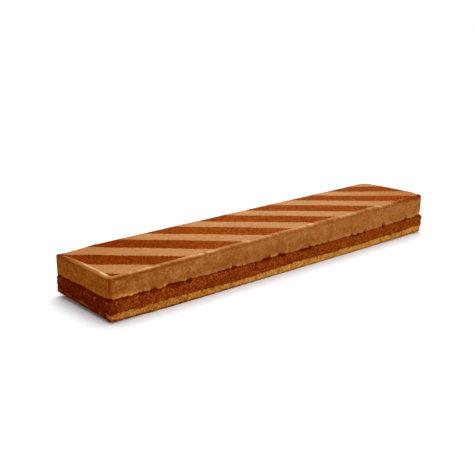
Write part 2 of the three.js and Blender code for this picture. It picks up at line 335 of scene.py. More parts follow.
@dataclass
class Surface:
    """Points and faces of one piece while it is put together.

    Points are in millimetres. Faces are blocks of whole-number rows, and each mask gives one
    number from 0 to 1 for each point, which a material reads.
    """

    mask_names: tuple
    points: list = field(default_factory=list)
    faces: list = field(default_factory=list)
    masks: dict = field(default_factory=dict)
    count: int = 0

    def add_points(self, points: Array, **masks: Array) -> Array:
        """Adds points.

        Args:
            points: Places in millimetres, with 3 in the last dimension.
            masks: One number for each point, or one for all. Masks left out are 0.

        Returns:
            The new points' numbers, in the shape of the points.
        """
        shape = points.shape[:-1]
        for name in self.mask_names:
            block = np.broadcast_to(masks.get(name, 0.0), shape).ravel()
            self.masks.setdefault(name, []).append(block)
        self.points.append(points.reshape(-1, 3))
        numbers = self.count + np.arange(math.prod(shape)).reshape(shape)
        self.count += numbers.size
        return numbers

    def add_grid(self, numbers: Array, closed: bool) -> None:
        """Adds the quads between rows of points.

        Args:
            numbers: Point numbers, rows by columns, with the columns counter-clockwise.
            closed: Whether the last column joins the first.
        """
        after = np.roll(numbers, -1, axis=1)
        if not closed:
            numbers, after = numbers[:, :-1], after[:, :-1]
        quads = np.stack([numbers[:-1], after[:-1], after[1:], numbers[1:]], -1)
        self.faces.append(quads.reshape(-1, 4))

    def add_cap(self, loop: Array, upward: bool) -> None:
        """Closes a loop of points with one flat face."""
        self.faces.append((loop if upward else loop[::-1])[None, :])

    def add_stack(self, *blocks: tuple, closed_above: bool = True) -> Array:
        """Adds stacked rings and joins them, with a flat face that closes the lowest.

        Args:
            blocks: The points of one or more rings and their masks, from the lowest.
            closed_above: Whether a flat face closes the highest ring too.

        Returns:
            Point numbers of the highest ring.
        """
        numbers = np.vstack([self.add_points(points, **masks) for points, masks in blocks])
        self.add_grid(numbers, closed=True)
        self.add_cap(numbers[0], upward=False)
        if closed_above:
            self.add_cap(numbers[-1], upward=True)
        return numbers[-1]

    def add_thinning(self, fine: Array, coarse: Array) -> None:
        """Joins a ring to one inside it that has half as many points.

        Each point of the inner ring gets three triangles.

        Args:
            fine: Point numbers of the outer ring.
            coarse: Point numbers of the inner ring.
        """
        a, b, c = fine[0::2], fine[1::2], np.roll(fine, -2)[0::2]
        d, e = coarse, np.roll(coarse, -1)
        for corners in ((a, b, d), (b, e, d), (b, c, e)):
            self.faces.append(np.column_stack(corners))

    def make(self, name: str, material: bpy.types.Material, slot: str, nodes: tuple = (),
             flat: bool = False) -> None:
        """Puts the surface into a mesh object that rides on the cake.

        Args:
            name: The piece's name.
            material: Its finish.
            slot: Not used.
            nodes: The solids that it replaces.
            flat: Whether its faces keep sharp edges.
        """
        mesh = bpy.data.meshes.new(name)
        faces = [row for block in self.faces for row in block.tolist()]
        mesh.from_pydata(np.vstack(self.points) * MM, [], faces)
        for mask, blocks in self.masks.items():
            attribute = mesh.attributes.new(mask, "FLOAT", "POINT")
            attribute.data.foreach_set("value", np.concatenate(blocks).astype(np.float32))
        mesh.polygons.foreach_set("use_smooth", np.full(len(faces), not flat))
        mesh.materials.append(material)
        piece = add_object(name, mesh)
        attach(piece, ROOT)
        if nodes:
            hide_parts(*nodes)
        LOG.info("%s: %d points, %d faces", name, self.count, len(faces))


# Materials


Value = float | tuple | bpy.types.NodeSocket
GRAIN_TURN = (0.5, 0.35, 0.2)
CLOUD_DETAIL = 4.0
GRAIN_DETAIL = 3.0


def rgba(colour: tuple, factor: float = 1.0) -> tuple:
    """A linear colour times a factor, with nothing see-through."""
    return (*(factor * value for value in colour), 1)


class Socket(Enum):
    """Kinds of socket that the grain group uses."""

    NUMBER = "NodeSocketFloat"
    VECTOR = "NodeSocketVector"


@dataclass
class Graph:
    """A node tree with short ways to add nodes and links."""

    tree: bpy.types.NodeTree

    def node(self, kind: str, inputs: dict | None = None, **settings: object) -> bpy.types.Node:
        """Adds a node.

        Args:
            kind: Blender's name for the node.
            inputs: A value, or another node's output, for each named or numbered input.
            settings: The node's own properties.

        Returns:
            The new node.
        """
        made = self.tree.nodes.new(kind)
        for name, value in settings.items():
            setattr(made, name, value)
        for name, value in (inputs or {}).items():
            if isinstance(value, bpy.types.NodeSocket):
                self.tree.links.new(value, made.inputs[name])
            else:
                made.inputs[name].default_value = value
        return made

    def math(self, operation: str, *values: Value, clamp: bool = False) -> bpy.types.NodeSocket:
        """The result of a calculation on one to three values."""
        settings = {"operation": operation, "use_clamp": clamp}
        return self.node("ShaderNodeMath", dict(enumerate(values)), **settings).outputs[0]

    def mix(self, share: Value, first: Value, second: Value) -> bpy.types.NodeSocket:
        """A colour between two others."""
        inputs = {0: share, 6: first, 7: second}
        return self.node("ShaderNodeMix", inputs, data_type="RGBA").outputs[2]

    def mask(self, name: str) -> bpy.types.NodeSocket:
        """Reads one of the piece's own masks."""
        return self.node("ShaderNodeAttribute", attribute_name=name).outputs["Fac"]


def effect_group(name: str, inputs: dict, outputs: dict) -> tuple[Graph, dict, dict]:
    """Starts a shader node group.

    Args:
        name: The group's name.
        inputs: The kind and the first value of each input.
        outputs: The kind of each output.

    Returns:
        The group's graph, its inputs to read from, and its outputs to link to.
    """
    tree = bpy.data.node_groups.new(name, "ShaderNodeTree")
    for label, (kind, value) in inputs.items():
        socket = tree.interface.new_socket(label, in_out="INPUT", socket_type=kind.value)
        if value is not None:
            socket.default_value = value
    for label, kind in outputs.items():
        tree.interface.new_socket(label, in_out="OUTPUT", socket_type=kind.value)
    start, end = tree.nodes.new("NodeGroupInput"), tree.nodes.new("NodeGroupOutput")
    return Graph(tree), start.outputs, end.inputs


def grain_group() -> bpy.types.NodeTree:
    """Fine food grain on top of a coarser tone.

    Returns:
        A group that takes a Tone from 0 to 1 and gives it back with cloudy mottling and fine
        grain added, and a Height for a bump.
    """
    graph, given, result = effect_group(
        "food_grain",
        {
            "Vector": (Socket.VECTOR, None),
            "Tone": (Socket.NUMBER, 0.5),
            "Cloud Scale": (Socket.NUMBER, 60.0),
            "Cloud": (Socket.NUMBER, 0.5),
            "Grain Scale": (Socket.NUMBER, 900.0),
            "Grain": (Socket.NUMBER, 0.5),
        },
        {"Tone": Socket.NUMBER, "Height": Socket.NUMBER},
    )
    turned = graph.node("ShaderNodeMapping", {"Vector": given["Vector"], "Rotation": GRAIN_TURN})
    bumps = []
    for vector, scale, detail in (
        (given["Vector"], given["Cloud Scale"], CLOUD_DETAIL),
        (turned.outputs[0], given["Grain Scale"], GRAIN_DETAIL),
    ):
        inputs = {"Vector": vector, "Scale": scale, "Detail": detail}
        bumps.append(graph.node("ShaderNodeTexNoise", inputs).outputs["Fac"])
    cloud, grain = (graph.math("SUBTRACT", bump, 0.5) for bump in bumps)
    mottled = graph.math("MULTIPLY_ADD", cloud, given["Cloud"], given["Tone"])
    tone = graph.math("MULTIPLY_ADD", grain, given["Grain"], mottled, clamp=True)
    graph.tree.links.new(tone, result["Tone"])
    graph.tree.links.new(bumps[1], result["Height"])
    return graph.tree


@dataclass(frozen=True)
class Finish:
    """A food surface: three tones of one colour, its grain and its gloss.

    Colours are linear. Scales count bumps in a metre, and bump is in metres. The mask tone
    picks a colour from dark to light, and tints are laid over it in their order: each is a
    mask's name and the colour where that mask is 1.
    """

    name: str
    dark: tuple
    middle: tuple
    light: tuple
    cloud_scale: float
    cloud: float
    grain_scale: float
    grain: float
    roughness: float
    specular: float
    bump: float
    tints: tuple = ()
    tint_range: float = 0.25

    def masks(self) -> tuple:
        """Names of the masks that the material reads."""
        return ("tone", *(name for name, _ in self.tints))

    def build(self, grain: bpy.types.NodeTree) -> bpy.types.Material:
        """Makes the material.

        Args:
            grain: The shared grain group.

        Returns:
            The new material.
        """
        material = bpy.data.materials.new(self.name)
        material.use_nodes = True
        graph = Graph(material.node_tree)
        graph.tree.nodes.clear()
        texture = graph.node(
            "ShaderNodeGroup",
            {
                "Vector": graph.node("ShaderNodeTexCoord").outputs["Object"],
                "Tone": graph.mask("tone"),
                "Cloud Scale": self.cloud_scale,
                "Cloud": self.cloud,
                "Grain Scale": self.grain_scale,
                "Grain": self.grain,
            },
            node_tree=grain,
        )
        tone = texture.outputs["Tone"]
        ramp = graph.node("ShaderNodeValToRGB", {0: tone})
        stops = ramp.color_ramp.elements
        stops[0].color = rgba(self.dark)
        stops[1].color = rgba(self.light)
        stops.new(0.5).color = rgba(self.middle)
        colour = ramp.outputs[0]
        for mask, tint in self.tints:
            shades = (rgba(tint, 1 - self.tint_range), rgba(tint, 1 + self.tint_range))
            colour = graph.mix(graph.mask(mask), colour, graph.mix(tone, *shades))
        bump = graph.node(
            "ShaderNodeBump",
            {"Height": texture.outputs["Height"], "Distance": self.bump, "Strength": 1.0},
        )
        shader = graph.node(
            "ShaderNodeBsdfPrincipled",
            {
                "Base Color": colour,
                "Roughness": self.roughness,
                "Specular IOR Level": self.specular,
                "Normal": bump.outputs[0],
            },
        )
        end = graph.node("ShaderNodeOutputMaterial")
        graph.tree.links.new(shader.outputs[0], end.inputs["Surface"])
        return material


MOUSSE = Finish(
    "milk_chocolate_mousse", (0.18, 0.048, 0.005), (0.248, 0.088, 0.020), (0.312, 0.128, 0.042),
    cloud_scale=260, cloud=0.5, grain_scale=620, grain=1.25, roughness=0.5, specular=0.0,
    bump=0.0001, tint_range=0.33,
    tints=(
        ("top", (0.336, 0.143, 0.050)),
        # Deeper colour; on the left end it is painted shade, since that end lies in shade.
        ("deep", (0.235, 0.064, 0.006)),
        # Lighter smeared mousse, partly painted highlight where it stands out.
        ("smear", (0.345, 0.143, 0.036)),
        # Painted shade under the rim's lip, down the front corners and above tears.
        ("skin", (0.165, 0.034, 0.002)),
        ("dust", (0.14, 0.022, 0.002)),
        # Painted highlight on the rims, and a painted sheen on the top.
        ("glint", (0.53, 0.335, 0.152)),
        # Painted shade in the recesses at the torn foot.
        ("hollow", (0.15, 0.012, 0.001)),
    ),
)
CRUNCH = Finish(
    "dark_chocolate_crunch",
    (0.07, 0.003, 0.0005), (0.183, 0.028, 0.0012), (0.30, 0.089, 0.018),
    cloud_scale=180, cloud=0.4, grain_scale=900, grain=1.4, roughness=0.6, specular=0.0,
    bump=0.0002,
    tints=(
        ("baked", (0.195, 0.044, 0.0007)),
        # Darker red where damp, and painted shade under the mousse and on the left end.
        ("wet", (0.108, 0.0075, 0.0009)),
        ("smeared", (0.27, 0.085, 0.017)),
        # Painted shade in the gaps inside tears, under the mousse.
        ("crevice", (0.075, 0.004, 0.0008)),
    ),
)
SPONGE = Finish(
    "golden_sponge", (0.19, 0.045, 0.003), (0.36, 0.143, 0.020), (0.46, 0.225, 0.050),
    cloud_scale=150, cloud=0.6, grain_scale=1000, grain=2.2, roughness=0.8, specular=0.0,
    bump=0.0002,
    # Painted shade on the left end and stains just below the crunch, then browned crust.
    tints=(("stained", (0.13, 0.009, 0.0008)), ("browned", (0.11, 0.010, 0.0008))),
)
COCOA = Finish(
    "cocoa_powder", (0.132, 0.0185, 0.0013), (0.194, 0.0372, 0.0036), (0.261, 0.059, 0.0075),
    cloud_scale=240, cloud=0.15, grain_scale=900, grain=7.0, roughness=0.95, specular=0.0,
    bump=0.00015, tint_range=0.5,
    # Painted shade towards both ends of the top, then a painted sheen towards the back right.
    tints=(("moist", (0.138, 0.0195, 0.0013)), ("pale", (0.33, 0.14, 0.055))),
)


# The cake's form, which all layers share


@dataclass(frozen=True)
class CakeForm:
    """Sizes that more than one layer needs, in millimetres.

    The cake's length, its width and the sponge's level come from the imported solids. Places
    along the front are distances from the left end. A tear, where the mousse has broken away
    above the crunch, has its steep end, its shallow end and its height. A tongue, where mousse
    hangs over the crunch, has its middle, half its width and its depth. The front lip is
    higher than elsewhere near the left end and then sinks by lip_slope for each millimetre.
    """

    outline: Outline
    sponge_top: float
    crunch_top: float = 17.8
    left_height: float = 35.9
    right_height: float = 41.5
    back_rise: float = 1.4
    worn_top: float = 1.4
    worn_span: tuple = (-12, 10, 36)
    lip_shift: float = -0.45
    lip_slope: float = 0.0045
    crown: float = 1.3
    crown_length: float = 60.0
    seam: float = 0.12
    edge_strip: float = 5.0
    setback: float = 1.5
    rim: Margins = Margins(front=5.2, front_end=2.2, right=1.8, back=1.2, left=5.0)
    rim_rise: float = 0.5
    left_lift: float = 1.5
    left_lift_length: float = 65.0
    right_lift: float = 1.45
    right_lift_length: float = 105.0
    worn_lift: float = 2.6
    worn_length: float = 32.0
    end_strip: float = 1.5
    tears: tuple = (
        (24.5, 30.5, 0.8), (35.8, 44.5, 1.2), (51, 70.5, 1.0), (71, 77.5, 1.2), (118, 127, 1.3),
        (166, 156, 1.9), (174, 185, 1.7), (213, 220, 1.1), (322, 326, 1.1), (366, 358, 1.1),
    )
    tongues: tuple = ((47, 2.5, 0.8), (95, 2.0, 0.4), (110, 3.0, 0.3))

    @classmethod
    def from_frame(cls) -> "CakeForm":
        """Reads the cake's length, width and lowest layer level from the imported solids.

        Returns:
            The form with these sizes.
        """
        low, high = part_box("crunch_layer")
        outline = Outline(round((high.x - low.x) / MM, 1), round((high.y - low.y) / MM, 1))
        return cls(outline, round(low.z / MM, 2))

    def mousse_margins(self, share: float, more: float = 0.0) -> Margins:
        """Margins of a ring of the mousse at a share of the rim's width."""
        return self.rim.changed(share, more, self.setback)

    def from_left(self, points: Array) -> Array:
        """Distance from the left end."""
        return points[..., 0] + self.outline.length / 2

    def from_right(self, points: Array) -> Array:
        """Distance from the right end."""
        return self.outline.length - self.from_left(points)

    def across(self, points: Array) -> Array:
        """0 at the front side and 1 at the back."""
        return unit(points[..., 1] / self.outline.width + 0.5)

    def on_front(self, points: Array) -> Array:
        """Whether points lie in the strip along the front side."""
        return points[..., 1] < -self.outline.width / 2 + self.edge_strip

    def on_left(self, points: Array) -> Array:
        """Whether points lie in the strip along the left end."""
        return self.from_left(points) < self.rim.left + 0.5

    def top(self, points: Array) -> Array:
        """Nominal height of the top.

        A straight line from the left end to the right end, plus a rise of the back edge that
        is full at the left end and gone at the right end. The back left corner is worn down,
        and the right end has a crown along half a sine wave.

        Args:
            points: Places, with x and y first in the last dimension.

        Returns:
            One height for each point.
        """
        left, across = self.from_left(points), self.across(points)
        along = left / self.outline.length
        level = self.left_height + (self.right_height - self.left_height) * along
        level = level + self.back_rise * across * (1 - along)
        start, middle, end = self.worn_span
        worn = smooth(across, 0.5, 1) * (smooth(left, start, middle) - smooth(left, middle, end))
        crown = np.sin(math.pi * (0.12 + 0.88 * across)) ** 0.75
        crown = crown * fall(self.from_right(points), 0, self.crown_length)
        return level - self.worn_top * worn + self.crown * crown

    def end_lift(self, points: Array) -> Array:
        """How far the layers' edges are lifted near the ends."""
        lifted = self.left_lift * fall(self.from_left(points), 0, self.left_lift_length)
        return lifted + self.right_lift * fall(self.from_right(points), 0, self.right_lift_length)

    def base_lift(self, points: Array) -> Array:
        """Height of the sponge's lower edge, worn away at the back left corner."""
        near = fall(self.from_left(points), 0, self.worn_length)
        return self.end_lift(points) + self.worn_lift * self.across(points) ** 0.75 * near

    def sponge_edge(self, points: Array) -> Array:
        """Height of the wavy seam between the sponge and the crunch."""
        wavy = waves(points, (1, 18, 14309), (0.5, 20, 18272), (0.3, 5, 18), (0.2, 1.7, 19))
        return self.sponge_top + self.end_lift(points) + wavy - 0.18

    def lip_sag(self, points: Array) -> Array:
        """How much lower the front lip lies than the other lips."""
        sag = self.lip_shift + self.lip_slope * np.maximum(0, self.from_left(points) - 30)
        return sag * fall(self.across(points) * self.outline.width, 0, 12)

    def crunch_edge(self, points: Array) -> Array:
        """Height of the crunch's upper edge.

        It dips where tongues of mousse hang over it, and where noise is above 0. On the left
        end it dips less, and towards the right end it rises.

        Args:
            points: Places, with x and y first in the last dimension.

        Returns:
            One height for each point.
        """
        left = self.from_left(points)
        hung = sum(depth * hump(left, place, width) for place, width, depth in self.tongues)
        hung = hung * self.on_front(points) + 0.6 * np.maximum(0, noise(points, 9, 11))
        teeth = 0.8 * np.maximum(0, noise(points, 3.1, 12)) + 0.4 * noise(points, 1.3, 17)
        dips = np.where(left < self.end_strip, 0.45, 1.0) * (hung + teeth)
        level = self.crunch_top + 0.2 + self.end_lift(points)
        level = level + 0.9 * fall(self.from_right(points), 0, 14)
        return level + waves(points, (0.9, 22, 14489), (0.4, 14, 23192)) - dips

    def tear(self, points: Array) -> Array:
        """How far the mousse has broken away above the crunch.

        On the front side each named tear is a ragged wedge that rises over the first fifth of
        its length and then falls slowly. Elsewhere tears come from noise.

        Args:
            points: Places, with x and y first in the last dimension.

        Returns:
            One height for each point.
        """
        named = np.zeros(points.shape[:-1])
        for steep, shallow, height in self.tears:
            t = (self.from_left(points) - steep) / (shallow - steep)
            wedge = unit(t / 0.2) * unit((1 - t) / 0.8) ** 0.8
            named = np.maximum(named, height * wedge)
        named = named * (1 + 0.45 * noise(points, 1.4, 13))
        others = 2.2 * np.maximum(0, noise(points, 5, 14) - 0.25)
        share = np.where(self.from_left(points) < self.end_strip, 0.35, 1.0)
        return np.where(self.on_front(points), named + 0.5 * others, share * others)

    def foot_inset(self, points: Array) -> Array:
        """How far the seam between crunch and mousse lies behind the cut face."""
        back_left = fall(self.from_left(points), 3, 9) * smooth(self.across(points), 0.7, 0.9)
        return (0.7 + waves(points, (0.2, 12, 15), (0.1, 2, 16))) * (1 - 0.9 * back_left)


# Layers


Edge = Callable[[Array], Array]


@dataclass(frozen=True)
class Face:
    """A layer's cut face before its relief, in rows from its lower to its upper edge.

    plan holds one row's points at height 0, and out their outward directions. share goes from
    0 in the lowest row to 1 in the highest. For each point, above is its height over the lower
    edge, and left and right are its distances from the cake's ends.
    """

    plan: Array
    out: Array
    share: Array
    points: Array
    above: Array
    left: Array
    right: Array


@dataclass
class Layer:
    """A layer of the cake: rings that follow its outline, stacked from below."""

    form: CakeForm
    step: float = 0.62
    rows: int = 13
    row_power: float = 1.0

    def ring(self, margins: Margins = Margins()) -> tuple[Array, Array]:
        """Points of one ring, and their outward directions."""
        return self.form.outline.ring(self.form.outline.places(self.step), margins)

    def strip(self, height: float) -> Array:
        """The ring where the hidden strip below or above the cut face ends."""
        inner, _ = self.ring(Margins().changed(more=self.form.edge_strip))
        return lift(inner, height)[None]

    def face(self, lower: Edge, upper: Edge, margins: Margins = Margins()) -> Face:
        """Lays rows of points between the cut face's edges.

        A row's height is the lower edge plus its share of the way to the upper edge. Shares
        are evenly spaced numbers raised to row_power.

        Args:
            lower: Gives the lower edge's height.
            upper: Gives the upper edge's height.
            margins: How far the face lies inside the outline.

        Returns:
            The cut face.
        """
        ring, out = self.ring(margins)
        plan = lift(ring, 0.0)
        share = np.linspace(0, 1, self.rows)[:, None] ** self.row_power
        above = share * (upper(plan) - lower(plan))
        points = lift(np.broadcast_to(ring, (self.rows, *ring.shape)), lower(plan) + above)
        ends = (self.form.from_left(points), self.form.from_right(points))
        return Face(plan, out, share, points, above, *ends)


@dataclass
class SpongeBase(Layer):
    """The thin golden sponge, with an open crumb and a browned underside."""

    pore_size: float = 1.5
    pore_depth: float = 0.4
    bevel: float = 1.5
    bevel_reach: float = 14.0

    def wall(self) -> tuple[Array, Array, dict]:
        """Works out the cut face.

        Each point lies behind the cut by a slow wave and by pores, which are deepest at the
        middle of a grain cell and darkened with painted shade. The lowest part is broken and
        browned in patches. The left end, which lies in shade, gets painted shade as a darker
        colour, and the top of the face is darker in patches just below the crunch.

        Returns:
            Points, outward directions and masks.
        """
        form = self.form
        face = self.face(form.base_lift, form.sponge_edge)
        points, share, left = face.points, face.share, face.left
        distance, _ = granules(points, self.pore_size, 21)
        pores = fall(distance, 0.1, 0.5)
        inset = 0.12 + 0.14 * noise(points, 6, 22) + self.pore_depth * pores
        inset += 0.16 * fractal(points, 1.1, 2, 23)
        inset += (0.1 + waves(points, (0.35, 4, 24), (0.25, 1.5, 25))) * fall(face.above, 0, 1.0)
        inset -= 1.1 * fall(left, 1, 6) * form.across(points)
        patch = smooth(fractal(points, 3.2, 3, 26), -0.3, 0.45)
        crust = 1.0 - 0.5 * smooth(left, 70, 240) + 0.3 * fall(left, 0, 25)
        near_base = fall(face.above + 0.5 * noise(points, 2, 27), 0.8, 1.9)
        corner = smooth(points[..., 1] + form.outline.width / 2, 1, 9)
        # Painted shade on the left end, which lies in shade, less near the front corner.
        left_shade = fall(left, 0, 2.5) * (0.8 + 0.9 * fractal(points, (5, 5, 3), 3, 28))
        seam_stain = 0.8 * smooth(share, 0.75, 1.0) * smooth(noise(points, 2.2, 30), -0.1, 0.5)
        tone = 0.40 + 0.24 * smooth(left, 60, 170) + 0.5 * fractal(points, 3, 3, 29)
        masks = {
            # Painted shade makes the pores darker.
            "tone": unit(tone + 0.22 * noise(points, 0.9, 69) - 0.4 * pores),
            "browned": unit(near_base * crust * (0.55 + 0.8 * patch)),
            "stained": unit(left_shade * corner + seam_stain),
        }
        return pushed(points, face.out, inset), face.out, masks

    def foot(self) -> Array:
        """Points where the sponge stands: the outline drawn in by the bevel below its base.

        The shift is the bevel times the base's lift. It points inwards at each side and fades
        to nothing over bevel_reach, so that it doesn't fold at the corners.

        Returns:
            One ring of points.
        """
        ring, _ = self.ring()
        half = np.array([self.form.outline.length, self.form.outline.width]) / 2
        inwards = fall(ring + half, 0, self.bevel_reach) - fall(half - ring, 0, self.bevel_reach)
        depth = 0.2 + self.bevel * self.form.base_lift(ring)
        return lift(ring + depth[:, None] * inwards, 0.0)[None]

    def build(self, material: bpy.types.Material) -> None:
        """Makes the piece: the bevelled underside, the wall and the upper strip.

        Args:
            material: The sponge's finish.
        """
        wall, _, masks = self.wall()
        made = Surface(SPONGE.masks())
        made.add_stack(
            (self.foot(), {"tone": 0.6, "browned": 0.1}),
            (wall, masks),
            (self.strip(self.form.sponge_top), {"tone": 0.5}),
        )
        made.make("sponge_crumb", material, "sponge", ("sponge_base",))


@dataclass
class CrunchLayer(Layer):
    """The dark crunch: packed granules with crevices between them."""

    rows: int = 25
    coarse: float = 2.3
    coarse_depth: float = 0.5
    fine: float = 1.1
    fine_depth: float = 0.3

    def wall(self) -> tuple[Array, Array, dict]:
        """Works out the cut face.

        Each point lies behind the cut by a slow wave and by its distance from the middle of
        its coarse and fine granules, squared, so that granules are round and crevices sharp.
        Towards the top the face draws back under the mousse.

        Returns:
            Points, outward directions and masks.
        """
        form = self.form
        face = self.face(form.sponge_edge, form.crunch_edge)
        points, share, left = face.points, face.share, face.left
        big, tone = granules(points, self.coarse, 31)
        small, small_tone = granules(points, self.fine, 35)
        inset = -0.15 + 0.35 * noise(points, 7, 39) + self.coarse_depth * big**2
        inset += self.fine_depth * small**2 + 0.25 * fall(share, 0, 0.1)
        inset -= (1.0 - 0.6 * share) * fall(left, 1, 6) * form.across(points)
        inset -= 0.8 * fall(face.right, 1, 5)
        at_top = smooth(share, 0.84, 0.98)
        under = form.foot_inset(face.plan) + 0.3 + form.setback * fall(face.right, 1.0, 3.0)
        inset = inset * (1 - at_top) + under * at_top
        # Painted shade darkens each coarse granule towards its edge, in the crevices between
        # them.
        grains = 0.3 + 0.2 * tone + 0.22 * small_tone - 0.18 * smooth(big, 0.45, 0.8)
        return pushed(points, face.out, inset), face.out, self.wall_masks(face, grains)

    def wall_masks(self, face: Face, grains: Array) -> dict:
        """Works out where the cut face is darker or lighter.

        Painted shade darkens it under the mousse's overhanging foot, most below tears, and on the
        left end, which lies in shade. It is damp in a low band and along flat veins, and painted
        shade makes it dark inside tears. It is baked in patches and to the right, and small
        specks of mousse are smeared over its upper part.

        Args:
            face: The cut face.
            grains: Tone of the granules.

        Returns:
            One array for each mask.
        """
        form, points, plan = self.form, face.points, face.plan
        share, left = face.share, face.left
        tear, front = form.tear(plan), form.on_front(plan)
        torn = smooth(tear, 0.25, 0.8) * front
        # Painted shade under the mousse's overhanging foot, most below tears, and on the left
        # end.
        under = 0.3 + 0.25 * fall(left, 20, 110) + 0.45 * noise(plan, 11, 40) + 0.9 * torn
        low = 0.35 * fall(share, 0.05, 0.25) * smooth(noise(plan, 14, 38), -0.4, 0.4)
        ends = 0.65 * fall(left, 1.5, 13) + 0.05 * fall(left, 0.5, 2.5)
        veins = smooth(noise(points, (6, 6, 1.8), 32), 0.25, 0.65)
        veins = veins * (1 - 0.7 * smooth(left, 180, 250))
        specks = smooth(share, 0.3, 0.7) * smooth(noise(points, (1.9, 1.9, 1.3), 33), 0.4, 0.65)
        specks = specks * (0.7 - 0.5 * smooth(left, 190, 230))
        patches = smooth(noise(points, (13, 13, 5), 36), 0.1, 0.5)
        tone = grains + 0.1 * fractal(points, (7, 7, 4), 2, 34) + 0.05 * smooth(left, 210, 280)
        return {
            "tone": unit(tone),
            "baked": unit(0.45 * smooth(left, 190, 300) + 0.4 * patches),
            "wet": unit(smooth(share, 0.66, 0.95) * under + low + ends + 0.45 * veins),
            "smeared": specks * (1 - torn),
            # Painted shade inside tears, just under the mousse.
            "crevice": 0.9 * smooth(tear, 0.1, 0.4) * front * smooth(share, 0.87, 0.93),
        }

    def build(self, material: bpy.types.Material) -> None:
        """Makes the piece: the wall, and a strip below it and above it.

        Args:
            material: The crunch's finish.
        """
        wall, _, masks = self.wall()
        made = Surface(CRUNCH.masks())
        made.add_stack(
            (self.strip(self.form.sponge_top), {"tone": 0.3}),
            (wall, masks),
            (self.strip(self.form.crunch_top), {"tone": 0.1}),
        )
        made.make("crunch_core", material, "crunch", ("crunch_layer",))


